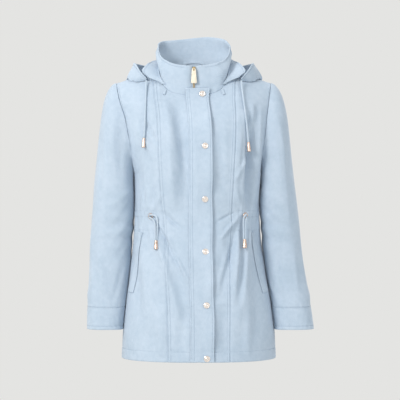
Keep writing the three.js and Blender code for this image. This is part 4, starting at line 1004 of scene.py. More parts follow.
def clear_of_body(point, gap):
    """Moves points off the body where they would lie within a gap of it."""
    out = point.copy()
    y, height = point[..., 1], point[..., 2]
    for face in FACES:
        x = np.abs(point[..., 0] - middle_at(height))
        crest = crest_at(face, x)
        z = np.minimum(height, crest - 0.01)
        turn = turn_of(face, x, z)
        depth = np.abs(body_raw(face, "left", turn, z)[..., 1]) + gap
        near = (x < half_at(height)) & (height <= crest + gap)
        near &= ((y < 0) == (face == "front")) & (np.abs(y) < depth)
        full = depth_at[face](z) * np.cos(turn * cut_angle(face, z)) ** ROUND
        share = np.clip(np.abs(y) / full, 0, 0.99)
        below = 1 - np.sqrt(1 - share ** (1 / CREST_POWER))
        higher = np.maximum(height, crest - rounding_at(face, x) * below + gap)
        blend = ease((share - UP_BEFORE) / (OUT_AFTER - UP_BEFORE))
        up, away = near & (share < OUT_AFTER), near & (share > UP_BEFORE)
        out[..., 2] = np.where(up, mix(higher, height, blend), out[..., 2])
        out[..., 1] = np.where(away, mix(y, SIGN[face] * depth, blend), out[..., 1])
    return out


def hood_grid(along, down):
    """The hood by place along it, -1 to 1, and down its section, 0 to 3."""
    along, down = np.broadcast_arrays(along, down)
    sign = np.where(along > 0, 1, -1)
    station = (1 - np.abs(along)) * (len(HOOD) - 2)
    columns = [through(np.arange(len(HOOD)), HOOD[:, k])(station) for k in range(9)]
    inner, base, outer = (
        vector(COLLAR_MIDDLE + sign * columns[k], columns[k + 1], columns[k + 2]) for k in (0, 3, 6)
    )
    from_front = mix(HOOD_FIRST_SEAM, HOOD_LAST_SEAM, 1 - np.abs(along))
    root = collar_point(neck_seam(np.where(along > 0, 20 - from_front, from_front)), 0.16, 0.9)
    waypoints = [inner, root, base, outer]
    slopes = [(root - inner) / 2, 0 * root, (outer - root) / 2, (outer - base) / 2]
    point = np.zeros_like(inner)
    for i in range(3):
        t = np.clip(down - i, 0, 1)[..., None]
        part = cubic(t, waypoints[i], waypoints[i + 1], slopes[i], slopes[i + 1])
        here = ((down >= i) & (down <= i + 1))[..., None]
        point = np.where(here, part, point)
    near_root = ease(np.abs(down - 1) / 0.12)[..., None]
    front, back = (clear_of_body(point, HOOD_CLEARANCE[face]) for face in FACES)
    cleared = np.where((point[..., 1] < 0)[..., None], front, back)
    return mix(point, cleared, near_root)


def hood_lift(along, down):
    """The hood's folds, both rims with their stitched rows, and soft unevenness."""
    lift = np.zeros(np.broadcast(along, down).shape)
    for along1, down1, along2, down2, width, height in HOOD_FOLDS:
        share = np.clip((down - down1) / (down2 - down1), 0, 1)
        off = (along - mix(along1, along2, share)) / width
        lift = lift + fold(off, share, height)
    rim = 0.6 * ease((down - 2.84) / 0.04) - 0.5 * dent((down - HOOD_OUTER_ROW) * 70, 1.2)
    inner_rim = 0.6 * ease((0.12 - down) / 0.04) - 0.5 * dent((down - HOOD_INNER_ROW) * 40, 1.2)
    soft = 1.0 * ripple(along * 21, down * 2.6, 3.3) * ease(np.abs(down - 1) / 0.25)
    lift = lift + rim + inner_rim + soft
    return mix(lift, np.maximum(lift, -0.4), ease(1.4 - 2 * np.abs(down - 1.9)))


# Rows down the section are closer where the hood turns at the neck seam.
hood_parts = ((0, 0.94, 16), (0.97, 1.2, 9), (1.23, 3, 66))
hood_down = np.concatenate([np.linspace(*part) for part in hood_parts])
hood_places = np.linspace(-1, 1, 250)[:, None], hood_down[None, :]
hood_bare = hood_grid(*hood_places)
along_step, down_step = (np.gradient(hood_bare, axis=axis) for axis in (0, 1))
hood_out = -unit(np.cross(along_step, down_step))
hood_points = hood_bare + hood_out * hood_lift(*hood_places)[..., None]
cloth_wall("hood_cloth", hood_points, hood_out, CLOTH, "hood", rim=0.55)


# %% [markdown]
# ## Storm flap, zip and what is sewn on the front
# The flap is stitched down along the viewer's left, covers the zip and is held by six snaps. Its
# free edge stands off a little between them and waves. The zip shows only above the flap.

# %% The front's surface, and pieces that lie on it
FLAP_LEFT, FLAP_RIGHT, FLAP_TOP_Z, FLAP_BOTTOM_Z = -19.5, 37, -27, HEM_Z + 1
# How far the flap stands out, waves and lifts at its free edge, and about how wide it is.
FLAP_RISE, FLAP_WAVE, FLAP_STAND, FLAP_WIDE = 3.0, 3.2, 1.6, 56
FLAP_ROWS, FLAP_EDGE_ROW = (0.045, 0.155), 0.925
SNAP_X, SNAP_TOP_Z, SNAP_BOTTOM_Z, SNAP_COUNT = 20, -42, -693, 6
SNAP_PITCH = (SNAP_TOP_Z - SNAP_BOTTOM_Z) / (SNAP_COUNT - 1)


def front_surface(x, z, lift=0.0):
    """The body's front below the neck seam and the collar above it, at x right of the middle."""
    x, z = np.broadcast_arrays(np.asarray(x, float), np.asarray(z, float))
    points, normals = np.zeros(x.shape + (3,)), np.zeros(x.shape + (3,))
    for side in SIDES:
        out = np.abs(x)
        seam_z = top_edge_at("front", out) - BELOW_CREST
        low, low_out = on_body("front", side, out, np.minimum(z, seam_z), lift)
        seam = on_body("front", side, out, seam_z)[0]
        collar_height = collar_point(seam, 1.0)[..., 2] - seam[..., 2]
        share = np.clip((z - seam[..., 2]) / collar_height, 0, 1.2)
        high = collar_point(seam, share, lift)
        below, here = (z <= seam_z)[..., None], ((x < 0) == (side == "left"))[..., None]
        points = np.where(here, np.where(below, low, high), points)
        normals = np.where(here, np.where(below, low_out, vector(0, -1, 0)), normals)
    return points, normals


def flap_lift(across, z):
    """The flap stands on the zip, and its free edge lifts between the snaps in soft waves."""
    between = np.sin(np.pi * (SNAP_TOP_Z - z) / SNAP_PITCH) ** 2
    free = ease((across - 0.35) / 0.65)
    wave = FLAP_WAVE * between * free
    drag = 2.0 * ripple(z / 17, across * 1.5, 1.1) * free
    drag = drag + 0.8 * ripple(z / 6.5, across * 2, 2.4) * free
    drag = drag + 1.6 * ripple(z / 24 + across * 2.6, across, 4.4) * ease(across / 0.3)
    sewn = 0.7 * ease((across - 0.012) / 0.02)
    for place, depth in zip(FLAP_ROWS, (0.5, 0.45)):
        sewn = sewn - depth * dent((across - place) * FLAP_WIDE, 0.9)
    edge = 0.35 * ease((across - 0.93) / 0.02)
    edge = edge - 0.3 * dent((across - FLAP_EDGE_ROW) * FLAP_WIDE, 0.9)
    stand = FLAP_STAND * ease((across - 0.55) / 0.45)
    return FLAP_RISE + wave + drag * (1 - 0.55 * (1 - between)) + sewn + edge + stand


def flap_x(across, z):
    """Across the flap at a share of its width; its free edge isn't quite straight."""
    uneven = 1.4 * ripple(z / 31, 0.0, 0.7) * ease((across - 0.5) / 0.5)
    return mix(FLAP_LEFT, FLAP_RIGHT, across) + uneven


def flap_point(x, z, lift):
    """The mean of three heights near the neck seam, so that the flap bridges the bend there."""
    spread = 10 * ease((z + 75) / 20)
    three = [front_surface(x, z + step * spread, lift) for step in (-1, 0, 1)]
    return sum(p for p, _ in three) / 3, unit(sum(n for _, n in three))


flap_across = np.linspace(0, 1, 40)[None, :]
flap_z = np.linspace(FLAP_TOP_Z, FLAP_BOTTOM_Z, 260)[:, None]
flap = flap_point(flap_x(flap_across, flap_z), flap_z, flap_lift(flap_across, flap_z))
cloth_wall("storm_flap_cloth", *flap, FLAP_CLOTH, "storm_flap", rim=0.5)

# Each strip's ends from the body's middle, its width, and how far it stands out.
POCKET = ((138, -386), (168, -535), 11, 2.4)
TAB = ((71, -31), (75, -43), 6, 2.2)
POCKET_MARGIN = 1.7


def strip_on_front(side, start, end, width, lift, rows, columns):
    """A strip from one place to another on the front, its columns square to its length."""
    start, end = np.array(start, float), np.array(end, float)
    along = (end - start) / np.linalg.norm(end - start)
    share, across = np.linspace(0, 1, rows)[:, None], np.linspace(-0.5, 0.5, columns)[None, :]
    x = mix(start[0], end[0], share) + along[1] * width * across
    z = mix(start[1], end[1], share) - along[0] * width * across
    crown = 0.5 * (1 - (2 * across) ** 6)
    return on_body("front", side, x, z, lift + crown)


for side in SIDES:
    welt = strip_on_front(side, *POCKET, 70, 14)
    cloth_wall(f"pocket_welt_{side}_cloth", *welt, 1.6, f"pocket_welt_{side}")
    tab = strip_on_front(side, *TAB, 14, 8)
    cloth_wall(f"hood_tab_{side}_cloth", *tab, 1.4, f"hood_tab_{side}", rim=0.5)

# The hanger loop is a strap that arches over the neck seam, inside the collar's back.
LOOP_FROM, LOOP_TO, LOOP_WIDTH, LOOP_ARCH, LOOP_INSIDE = 9.4, 10.6, 0.07, 0.08, 0.8
loop_share, loop_across = np.linspace(0, 1, 40)[:, None], np.linspace(0, 1, 6)[None, :]
loop_up = 0.03 + LOOP_ARCH * np.sin(np.pi * loop_share) + LOOP_WIDTH * loop_across
loop_seam = neck_seam(mix(LOOP_FROM, LOOP_TO, loop_share)) + np.zeros((1, 6, 1))
loop = collar_point(loop_seam, loop_up, -COLLAR_CLOTH - LOOP_INSIDE)
loop_out = np.broadcast_to((0.0, 1.0, 0.0), loop.shape)
cloth_wall("hanger_loop_cloth", loop, loop_out, 1.2, "hanger_loop")


# %% [markdown]
# ## Metal
# Everything hard is turned or stamped metal with a polished plating, and the zip is brass. Round
# pieces are profiles turned about an axis: radius and height point by point, with small
# roundings at each corner, because only a rounded edge catches a highlight.

# %% Turned pieces
TURNED_AROUND = 48


def rounded_profile(corners, radius=0.35, steps=4):
    """A profile's corners, each cut back by the radius and filled with a curve of a few points."""
    corners = np.array(corners, float)
    profile = [corners[0]]
    for before, corner, after in zip(corners[:-2], corners[1:-1], corners[2:]):
        sides = before - corner, after - corner
        reach = min(radius, *(np.linalg.norm(side) / 2.2 for side in sides))
        start, end = (corner + unit(side) * reach for side in sides)
        for t in np.linspace(0, 1, steps + 1):
            profile.append((1 - t) ** 2 * start + 2 * t * (1 - t) * corner + t**2 * end)
    profile.append(corners[-1])
    return np.array(profile)


def turned(name, profile, place, axis, node):
    """A profile of (radius, height) turned about an axis that stands on a place."""
    profile = np.array(profile, float)
    up = unit(np.array(axis, float))
    one = unit(np.cross(up, (0.0, 0.0, 1.0) if abs(up[2]) < 0.9 else (0.0, 1.0, 0.0)))
    angle = circle(TURNED_AROUND)[:, None]
    ring = np.cos(angle) * one + np.sin(angle) * np.cross(up, one)
    points = np.array(place, float) + profile[:, None, 0:1] * ring + profile[:, None, 1:2] * up
    piece = make_object(name, points, grid_faces(len(profile), TURNED_AROUND, around=True))
    face_outwards(piece, merge=True)
    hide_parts(node)
    return piece


# %% Snaps, eyelets and cord ends
SNAP_PROFILE = rounded_profile([
    (0, 0), (7.3, 0), (7.8, 0.9), (7.5, 2.0), (6.5, 2.5), (5.4, 2.1), (3.4, 2.2), (3.0, 2.7),
    (1.9, 2.95), (1.5, 2.6), (0, 2.55)])
# The first snap sits over the end of the collar's seam, so it stands out further.
SNAP_RISE, TOP_SNAP_RISE = FLAP_RISE + 0.7, FLAP_RISE + 2.4
snaps, fittings = [], []
for number in range(SNAP_COUNT):
    place = np.array([[SNAP_X], [SNAP_TOP_Z - number * SNAP_PITCH]])
    seat, out = flap_point(*place, SNAP_RISE if number else TOP_SNAP_RISE)
    name = f"snap_{number + 1}"
    snaps.append(turned(f"{name}_cap", SNAP_PROFILE, seat[0], out[0], name))
print("snaps stand", SNAP_PITCH, "mm apart")

EYELET_PROFILE = [(4.2, 0), (7.2, 0), (7.4, 0.7), (6.7, 1.6), (5.6, 1.9), (4.6, 1.5), (4.1, 0.8),
                  (4.2, 0)]
# Each eyelet's place on the body and how far it stands out.
EYELETS = {"left": (115.1, -345, 1.6), "right": (119.7, -343, 0.7)}
for side, spot in EYELETS.items():
    seat, out = on_body("front", side, *spot)
    fittings.append(turned(f"eyelet_{side}_ring", EYELET_PROFILE, seat, out, f"eyelet_{side}"))

# Start, direction, length and radii at the top and the foot.
CORD_ENDS = {
    "hood_end_left": ((-131, -101.4, -151.6), (-0.06, -0.06, -1), 24, 3.6, 4.8),
    "hood_end_right": ((127.4, -103, -161.6), (0.07, -0.04, -1), 24, 3.6, 4.8),
    "waist_end_left": ((-100.6, -109.7, -405.8), (0, -0.33, -1), 22, 4.6, 5.6),
    "waist_end_right": ((118.2, -102.9, -402.8), (0, -0.3, -1), 22, 4.6, 5.6),
}
bells = {}
for name, (start, towards, length, top, foot) in CORD_ENDS.items():
    profile = rounded_profile([
        (0, 0), (top - 0.5, 0), (top, 0.8), (top, 2.4), (top - 0.4, 3.0), (top - 0.2, 5.0),
        (mix(top, foot, 0.55), length * 0.5), (foot, length - 2.6), (foot, length - 0.8),
        (foot - 0.7, length), (foot - 1.5, length - 0.6), (0, length - 0.8)], radius=0.5)
    bells[name] = turned(f"{name}_bell", profile, start, towards, name)
    fittings.append(bells[name])


# %% [markdown]
# ## Zip, slider and pull
# The zip is two rows of small brass teeth on a tape. Only its top shows, where the slider is
# parked, but it runs on under the flap. The pull is a plain flared plate with a window that
# hangs on the slider's bridge, and it is the one piece that moves by itself.

# %% Zip
ZIP_TOP_Z, ZIP_BOTTOM_Z, TOOTH_PITCH, TOOTH_WIDTH, TAPE_CLOTH = 22, HEM_Z + 40, 3.0, 3.4, 0.9
tape_x = np.linspace(-ZIP_HALF, ZIP_HALF, 9)[None, :]
tape_z = np.linspace(ZIP_TOP_Z, ZIP_BOTTOM_Z, 150)[:, None]
tape = front_surface(tape_x, tape_z, -TAPE_CLOTH)
cloth_wall("zip_tape", *tape, TAPE_CLOTH, "zip_strip")

TOOTH_OFF_MIDDLE, TOOTH_SHARE, TOOTH_TAPER = 1.15, 0.27, 0.82
tooth_z = np.arange(ZIP_TOP_Z - 1, ZIP_BOTTOM_Z, -TOOTH_PITCH / 2)
tooth_side = np.where(np.arange(len(tooth_z)) % 2 == 0, -1, 1)
tooth_at, tooth_out = front_surface(tooth_side * TOOTH_OFF_MIDDLE, tooth_z, -TAPE_CLOTH)
tooth = np.array([(x, y, z) for x in (-1, 1) for y in (0, 1) for z in (-1, 1)], float)
tooth = tooth * (TOOTH_WIDTH / 2, 1.0, TOOTH_PITCH * TOOTH_SHARE)
tooth[:, [0, 2]] *= np.where(tooth[:, 1:2] > 0, TOOTH_TAPER, 1.0)
tooth_across = vector(1, 0, 0) + 0 * tooth_out
corners = placed(tooth, tooth_at, tooth_across, tooth_out, unit(np.cross(tooth_across, tooth_out)))
tooth_faces = np.array([
    (0, 1, 3, 2), (4, 6, 7, 5), (0, 4, 5, 1), (2, 3, 7, 6), (0, 2, 6, 4), (1, 5, 7, 3)])
tooth_faces = (tooth_faces[None] + 8 * np.arange(len(tooth_z))[:, None, None]).reshape(-1, 4)
teeth = make_object("zip_teeth", corners, tooth_faces)
teeth.data.polygons.foreach_set("use_smooth", np.zeros(len(teeth.data.polygons), bool))
face_outwards(teeth)
print("zip teeth:", len(tooth_z))

# %% Slider and pull
# The pull's axis: its height, how far it stands out, and the pull's bar round it.
AXIS_Z, AXIS_OUT, BAR = 21, 5.6, 0.8
zip_face = front_surface(0.01, AXIS_Z, -0.2)[0]
AXIS_Y, PLATE_Y = zip_face[1] - AXIS_OUT, zip_face[1] - 0.4


def plate(name, outline, window, back_y, thickness, bevel, body, node):
    """A flat plate in X and Z with a window, thickened to the front, its edges rounded."""
    work = bmesh.new()
    edges = []
    for ring in (outline, window):
        if ring:
            loop = [work.verts.new(((zip_face[0] + x) * MM, back_y * MM, z * MM)) for x, z in ring]
            edges += [work.edges.new(pair) for pair in zip(loop, loop[1:] + loop[:1])]
    filled = bmesh.ops.triangle_fill(work, edges=edges, use_beauty=True)
    faces = [item for item in filled["geom"] if isinstance(item, bmesh.types.BMFace)]
    swept = bmesh.ops.extrude_face_region(work, geom=faces)
    moved = [item for item in swept["geom"] if isinstance(item, bmesh.types.BMVert)]
    bmesh.ops.translate(work, verts=moved, vec=(0, -thickness * MM, 0))
    bmesh.ops.recalc_face_normals(work, faces=work.faces)
    mesh = bpy.data.meshes.new(name)
    work.to_mesh(mesh)
    work.free()
    piece = new_piece(name, mesh, body)
    rounding = piece.modifiers.new("rounding", "BEVEL")
    rounding.width, rounding.segments, rounding.angle_limit = bevel * MM, 3, np.radians(40)
    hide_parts(node)
    return piece


def arc(cx, cz, radius, start, end, steps=6):
    """Points on an arc about a centre, between two angles in degrees."""
    angles = np.radians(np.linspace(start, end, steps))
    return [(cx + radius * np.cos(a), cz + radius * np.sin(a)) for a in angles]


slider_outline = (arc(-1.6, 24.4, 1.6, 180, 100) + [(-0.5, 26), (0.5, 26)]
                  + arc(1.6, 24.4, 1.6, 80, 0) + [(4.2, 22)] + arc(1.9, 15.2, 1.1, -10, -80)
                  + arc(-1.9, 15.2, 1.1, -100, -170) + [(-4.2, 22)])
slider = plate("zip_slider_body", slider_outline, None, PLATE_Y, 3.0, 0.5, "garment", "zip_slider")
bridge_line = [(zip_face[0], y, z) for y, z in (
    (PLATE_Y - 2.6, 23.4), (AXIS_Y - 0.6, 23.3), (AXIS_Y - 1.9, 22.5), (AXIS_Y - 2.2, 21),
    (AXIS_Y - 1.9, 19.5), (AXIS_Y - 0.6, 18.7), (PLATE_Y - 2.6, 18.6))]
bridge_path = along_route(bridge_line, 0.4)[0]
bridge = closed_tube("zip_slider_bridge", bridge_path, np.full((1, 1), 0.75), 16)

PULL_TOP, PULL_FOOT = AXIS_Z + BAR, AXIS_Z - 36
pull_outline = (arc(-3.0, PULL_TOP - 0.9, 0.9, 180, 90, 4) + arc(3.0, PULL_TOP - 0.9, 0.9, 90, 0, 4)
                + [(4.9, PULL_TOP - 4)] + arc(5.0, PULL_FOOT + 2.4, 2.4, 10, -90)
                + arc(-5.0, PULL_FOOT + 2.4, 2.4, -90, -190) + [(-4.9, PULL_TOP - 4)])
WINDOW_TOP, WINDOW_FOOT, WINDOW_HALF = AXIS_Z - BAR - 0.9, AXIS_Z - 4.0, 0.9
pull_window = [spot for x, z, start in (
    (-1, WINDOW_TOP, 180), (1, WINDOW_TOP, 90), (1, WINDOW_FOOT, 0), (-1, WINDOW_FOOT, -90))
    for spot in arc(x * WINDOW_HALF, z, WINDOW_HALF, start, start - 90, 3)]
pull = plate("zip_pull", pull_outline, pull_window, AXIS_Y + BAR, 2 * BAR, 0.35, "pull_tab",
             "pull_tab")


# %% [markdown]
# ## Stitches
# Topstitching is sewn with thick thread at about eight stitches to the inch, so each one is a
# short rounded piece of thread that lies in its dimple. Each row is a line on the same surface
# as its cloth. At this distance a true half millimetre thread would vanish, so it is drawn a
# little thicker.

# %% Stitched rows
STITCH_PITCH, STITCH_LENGTH, THREAD = 3.4, 2.7, 0.42
stitch_rows = {}


def stitched(group, points, normals):
    """Adds a row of stitches along a line of points in millimetres."""
    points, normals = np.asarray(points, float), np.asarray(normals, float)
    steps = np.linalg.norm(np.diff(points, axis=0), axis=1)
    travel = np.concatenate([[0], np.cumsum(steps)])
    places = np.arange(STITCH_PITCH / 2, travel[-1] - STITCH_PITCH / 2, STITCH_PITCH)
    at = lambda values, t: np.stack([np.interp(t, travel, values[:, k]) for k in range(3)], -1)
    forward = unit(at(points, places + STITCH_LENGTH / 2) - at(points, places - STITCH_LENGTH / 2))
    up = unit(at(normals, places))
    stitch_rows.setdefault(group, []).append((at(points, places), forward, up))


def sew_all():
    """Makes one mesh for each group: every stitch a thread of two square rings and two tips."""
    rings = [(end * 0.36 * STITCH_LENGTH, a * THREAD, b * THREAD * 0.8 + 0.25)
             for end in (-1, 1) for a, b in ((1, 0), (0, 1), (-1, 0), (0, -1))]
    tips = [(end * 0.5 * STITCH_LENGTH, 0, 0.1) for end in (-1, 1)]
    shape = np.array([tips[0], *rings, tips[1]])
    faces = [(0, 1 + k, 1 + (k + 1) % 4) for k in range(4)]
    faces += [(1 + k, 5 + k, 5 + (k + 1) % 4, 1 + (k + 1) % 4) for k in range(4)]
    faces += [(9, 5 + (k + 1) % 4, 5 + k) for k in range(4)]
    pieces = []
    for group, rows in stitch_rows.items():
        centre, forward, up = (np.concatenate(arrays) for arrays in zip(*rows))
        points = placed(shape, centre, forward, np.cross(forward, up), up)
        numbered = [tuple(corner + 10 * i for corner in face)
                    for i in range(len(centre)) for face in faces]
        piece = make_object(f"{group}_stitches", points, numbered)
        face_outwards(piece)
        pieces.append(piece)
        print(f"{group}: {len(centre)} stitches")
    return pieces


heights = np.arange(HEM_Z + 3, 20.0, 2.0)
for side in SIDES:
    seam_at = princess_at[side]
    tall = heights[heights < top_edge_at("front", seam_at(20.0)) - 2]
    for off in FELL_ROWS:
        stitched("front", *on_body("front", side, seam_at(tall) - off, tall))
    for face in FACES:
        across = np.linspace(ZIP_HALF + 2 if face == "front" else 0, half_at(HEM_Z) - 2, 120)
        stitched(face, *on_body(face, side, across, HEM_Z + HEM_BAND))
        arm_z = np.linspace(UNDERARM_Z + 6, SHOULDER_TIP_Z - 9, 120)
        for off in FELL_ROWS:
            turn = np.full_like(arm_z, 1 - (off + ARMHOLE_SEAM) / ARMHOLE_ARC)
            stitched(face, *body_point(face, side, turn, arm_z))
        for row in CASING_ROWS:
            across = np.linspace(CASING_INNER[face], half_at(row) - 1.5, 80)
            stitched(face, *on_body(face, side, across, row))
    crest_x = np.linspace(NECK_HALF + 4, SHOULDER_TIP_HALF - 8, 60)
    for off in (3, 8):
        stitched("back", *on_body("back", side, crest_x, crest_at("back", crest_x) - off))
    stitched(f"cuff_{side}", *(grid[28] for grid in cuff_tube(side, 240)))
    stitched(f"sleeve_{side}", *(grid[-2] for grid in sleeve_tube(side, 240)))
    top, foot, width, lift = POCKET
    welt = strip_on_front(side, top, foot, width - 2 * POCKET_MARGIN, lift, 70, 3)
    for column in (0, 2):
        stitched("pockets", *(grid[:, column] for grid in welt))
    for row in (0, 1, 2, -3, -2, -1):
        line = np.linspace(0, 1, 8)[:, None]
        stitched("pockets", *(mix(grid[row, 0], grid[row, 2], line) for grid in welt))

flap_rows = np.linspace(FLAP_TOP_Z - 2, FLAP_BOTTOM_Z + 2, 260)
for across in (*FLAP_ROWS, FLAP_EDGE_ROW):
    line = flap_point(flap_x(across, flap_rows), flap_rows, flap_lift(across, flap_rows))
    stitched("flap", *line)
collar_line = collar_grid(np.linspace(0.4, 19.6, 400), np.array([COLLAR_ROW, 0.5]))
stitched("collar", *(grid[0] for grid in collar_line))
for place in (HOOD_OUTER_ROW, HOOD_INNER_ROW):
    row = np.argmin(np.abs(hood_down - place))
    stitched("hood", hood_points[3:-3, row], hood_out[3:-3, row])
stitch_pieces = sew_all()


# %% [markdown]
# ## Finishes
# The cloth is a cotton twill: threads cross at a slant in fine ribs, its dye is a little uneven,
# and fibres at the surface give it a soft sheen at glancing angles. The weave follows each piece's
# own UV map, whose unit is a metre of cloth, so the grain turns with the cut as real grain does.

# %% Colour, and one function for nodes
def colour(hex_code):
    """A hex colour as linear light: each channel undone by the screen's curve."""
    channels = [int(hex_code[k:k + 2], 16) / 255 for k in (1, 3, 5)]
    return (*[c / 12.92 if c <= 0.04045 else ((c + 0.055) / 1.055) ** 2.4 for c in channels], 1.0)


def add_node(tree, kind, settings=None, **inputs):
    """Adds a node, sets its properties, and sets or links its inputs."""
    node = tree.nodes.new(kind)
    for key, value in (settings or {}).items():
        setattr(node, key, value)
    set_inputs(tree, node, **inputs)
    return node


def new_material(name):
    material = bpy.data.materials.new(name)
    material.use_nodes = True
    tree = material.node_tree
    tree.nodes.clear()
    surface = add_node(tree, "ShaderNodeBsdfPrincipled")
    output = add_node(tree, "ShaderNodeOutputMaterial")
    tree.links.new(surface.outputs[0], output.inputs["Surface"])
    return material, tree, surface


def set_inputs(tree, node, **inputs):
    """Sets a node's inputs to values, or links other nodes' outputs to them.

    In an input's name an underscore stands for a space; n7 means the input with the number 7.
    """
    for key, value in inputs.items():
        numbered = key[0] == "n" and key[1:].isdigit()
        socket = node.inputs[int(key[1:]) if numbered else key.replace("_", " ")]
        if isinstance(value, bpy.types.NodeSocket):
            tree.links.new(value, socket)
        else:
            socket.default_value = value


# %% Cotton twill
# The spacing of the drawn ribs in mm, and of the wave texture's own bands at scale 1.
RIB_SPACING, WAVE_SPACING = 2.6, 0.314
RIB_SCALE, RIB_SLANT = WAVE_SPACING / (RIB_SPACING * MM), np.radians(62)


def twill(name, light, dark, rib_height=0.25):
    """Dyed cotton twill: slanted ribs, crossing threads, mottled dye and soft sheen.

    Real ribs are half a millimetre apart and would vanish at this size, so they are drawn as
    coarse as RIB_SPACING.
    """
    material, tree, surface = new_material(name)
    add = partial(add_node, tree)
    place = add("ShaderNodeTexCoord")
    slant = add("ShaderNodeMapping", Vector=place.outputs["UV"], Rotation=(0, 0, RIB_SLANT))
    ribs = add("ShaderNodeTexWave", {"wave_type": "BANDS", "bands_direction": "X"},
               Vector=slant.outputs[0], Scale=RIB_SCALE, Distortion=0.9, Detail=2.0,
               Detail_Scale=2.2)
    threads = add("ShaderNodeTexWave", {"wave_type": "BANDS", "bands_direction": "Y"},
                  Vector=place.outputs["UV"], Scale=RIB_SCALE * 1.6, Distortion=1.6, Detail=2.0,
                  Detail_Scale=1.5)
    slubs, dye, fine = (
        add("ShaderNodeTexNoise", Vector=place.outputs["Object"], Scale=scale, Detail=detail,
            Roughness=rough)
        for scale, detail, rough in ((90.0, 5.0, 0.6), (14.0, 4.0, 0.55), (420.0, 3.0, 0.65)))
    mottle = add("ShaderNodeMath", {"operation": "ADD"}, n0=slubs.outputs[0], n1=dye.outputs[0])
    tone = add("ShaderNodeMapRange", Value=mottle.outputs[0], From_Min=0.75, From_Max=1.25)
    base = add("ShaderNodeMix", {"data_type": "RGBA"}, n0=tone.outputs[0], n6=colour(dark),
               n7=colour(light))
    rib_tone = add("ShaderNodeMapRange", Value=ribs.outputs["Fac"], To_Min=0.9, To_Max=1.0)
    final = add("ShaderNodeMix", {"data_type": "RGBA", "blend_type": "MULTIPLY"}, n0=1.0,
                n6=base.outputs[2], n7=rib_tone.outputs[0])
    weave = add("ShaderNodeMath", {"operation": "MULTIPLY_ADD"}, n0=threads.outputs["Fac"],
                n1=0.35, n2=ribs.outputs["Fac"])
    woven = add("ShaderNodeMath", {"operation": "MULTIPLY_ADD"}, n0=fine.outputs[0], n1=0.9,
                n2=weave.outputs[0])
    relief = add("ShaderNodeBump", Strength=0.5, Distance=rib_height * MM,
                 Height=woven.outputs[0])
    crumple = add("ShaderNodeBump", Strength=0.45, Distance=1.4 * MM, Height=slubs.outputs[0],
                  Normal=relief.outputs[0])
    rough = add("ShaderNodeMapRange", Value=fine.outputs[0], To_Min=0.78, To_Max=0.94)
    set_inputs(tree, surface, Base_Color=final.outputs[2], Normal=crumple.outputs[0],
               Roughness=rough.outputs[0], Sheen_Weight=0.25, Sheen_Roughness=0.45,
               Specular_IOR_Level=0.28)
    return material


shell_twill = twill("pale_blue_cotton_twill", "#b7c7d8", "#abbdcf")
thread_cotton = twill("topstitching_thread", "#9fb3c7", "#93a8bd", rib_height=0.1)
braid_cotton = twill("braided_cotton_cord", "#c0cfde", "#b0c2d3", rib_height=0.15)


# %% [markdown]
# The snaps are zinc with a thin pale rosy plating, and the eyelets and bells have a warmer one,
# near copper. The slider is a duller gold than its pull, and the teeth are brass. Handling leaves
# faint clouds and hairline scratches in the gloss, so its roughness is a little uneven.

# %% Plated metal and brass
def plated(name, light, dark, rough_low, rough_high, scratch=0.08):
    """Plated metal: a mottled tint and a gloss broken by clouds and fine scratches."""
    material, tree, surface = new_material(name)
    add = partial(add_node, tree)
    place = add("ShaderNodeTexCoord").outputs["Object"]
    clouds = add("ShaderNodeTexNoise", Vector=place, Scale=160.0, Detail=4.0)
    streaks = add("ShaderNodeMapping", Vector=place, Scale=(3.0, 3.0, 0.4))
    scratches = add("ShaderNodeTexNoise", Vector=streaks.outputs[0], Scale=900.0, Detail=2.0)
    tint = add("ShaderNodeMix", {"data_type": "RGBA"}, n0=clouds.outputs[0], n6=colour(dark),
               n7=colour(light))
    gloss = add("ShaderNodeMapRange", Value=clouds.outputs[0], From_Min=0.3, From_Max=0.7,
                To_Min=rough_low, To_Max=rough_high)
    relief = add("ShaderNodeBump", Strength=scratch, Distance=0.05 * MM,
                 Height=scratches.outputs[0])
    set_inputs(tree, surface, Base_Color=tint.outputs[2], Roughness=gloss.outputs[0],
               Metallic=1.0, Normal=relief.outputs[0])
    return material


rose_plating = plated("rose_plated_zinc", "#f0eae6", "#e0d3ca", 0.24, 0.38)
zip_brass = plated("zip_brass", "#cfae6e", "#9d7b3e", 0.28, 0.45, scratch=0.15)
pale_plating = plated("pale_gold_plating", "#f5efe0", "#e6dbc6", 0.3, 0.42)
slider_plating = plated("slider_gold_plating", "#cbb487", "#a88e5e", 0.3, 0.42)
copper_plating = plated("copper_plated_zinc", "#e6d0c3", "#ccb1a1", 0.24, 0.38)

cloth_pieces = [o for o in bpy.data.objects if o.name.endswith("_cloth") or o.name == "zip_tape"]
for pieces, material in (
    (cloth_pieces, shell_twill), (stitch_pieces, thread_cotton), (snaps, rose_plating),
    (fittings, copper_plating), ([cord for cord, *_ in cord_pieces.values()], braid_cotton),
    ([teeth], zip_brass), ([slider, bridge], slider_plating), ([pull], pale_plating),
):
    for piece in pieces:
        piece.data.materials.append(material)
for node in frame["nodes"].values():
    node.data.materials.clear()
    node.data.materials.append(shell_twill)


# %% [markdown]
# ## Light and floor
# The photograph is lit like a catalogue picture: a broad soft light from the viewer's left and a
# little above, a weaker fill from the right, and a plain pale background. The lamp straight in
# front is faint and is there for the metal to mirror. The parka floats at the height at which
# somebody would wear it, so the floor lies far below the frame.

# %% Studio
FLOOR_Z, FLOOR_HALF = -1.42, 3.0


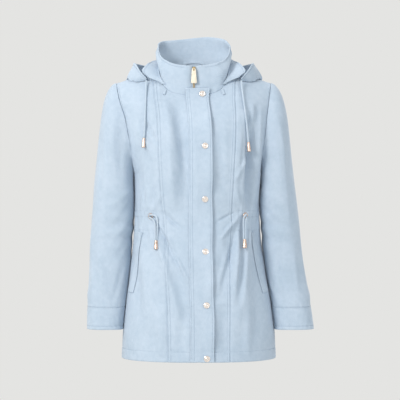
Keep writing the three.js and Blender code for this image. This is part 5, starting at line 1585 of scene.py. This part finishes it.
def area_light(name, place, aim, size, watts, tint):
    light = bpy.data.lights.new(name, "AREA")
    light.shape, light.energy, light.color = "RECTANGLE", watts, tint
    light.size, light.size_y = size
    lamp = bpy.data.objects.new(name, light)
    lamp.location = place
    lamp.rotation_euler = (Vector(aim) - Vector(place)).to_track_quat("-Z", "Y").to_euler()
    bpy.context.scene.collection.objects.link(lamp)


CHEST = (0, 0, -0.3)
area_light("key", (-1.9, -2.3, 1.1), CHEST, (0.9, 1.1), 68, (1.0, 0.96, 0.92))
area_light("fill", (2.4, -1.8, 0.2), CHEST, (1.4, 1.8), 12, (0.9, 0.95, 1.0))
area_light("top", (-0.3, 0.4, 1.9), CHEST, (1.2, 1.2), 10, (1.0, 1.0, 1.0))
area_light("back", (0.9, 2.6, 0.5), CHEST, (1.6, 1.6), 22, (1.0, 1.0, 1.0))
area_light("gleam", (0.0, -4.6, 0.3), CHEST, (2.0, 2.0), 8, (1.0, 0.99, 0.97))
# The plain curve shows the hex colours as they are; the default film curve would grey them.
bpy.context.scene.view_settings.view_transform = "Standard"

world = bpy.data.worlds.new("studio")
bpy.context.scene.world = world
world.use_nodes = True
world.node_tree.nodes["Background"].inputs["Color"].default_value = colour("#e4e4e2")
world.node_tree.nodes["Background"].inputs["Strength"].default_value = 1.0

floor_corners = [(x * FLOOR_HALF, y * FLOOR_HALF, FLOOR_Z)
                 for x, y in ((-1, -1), (1, -1), (1, 1), (-1, 1))]
floor_mesh = bpy.data.meshes.new("floor")
floor_mesh.from_pydata(floor_corners, [], [(0, 1, 2, 3)])
floor = bpy.data.objects.new("floor", floor_mesh)
bpy.context.scene.collection.objects.link(floor)
floor_paint, floor_tree, floor_surface = new_material("matt_studio_floor")
floor_place = add_node(floor_tree, "ShaderNodeTexCoord")
floor_noise = add_node(floor_tree, "ShaderNodeTexNoise", Vector=floor_place.outputs["Object"],
                       Scale=3.0)
floor_tone = add_node(floor_tree, "ShaderNodeMix", {"data_type": "RGBA"},
                      n0=floor_noise.outputs[0], n6=colour("#dededb"), n7=colour("#e6e6e4"))
set_inputs(floor_tree, floor_surface, Base_Color=floor_tone.outputs[2], Roughness=0.9)
floor_mesh.materials.append(floor_paint)
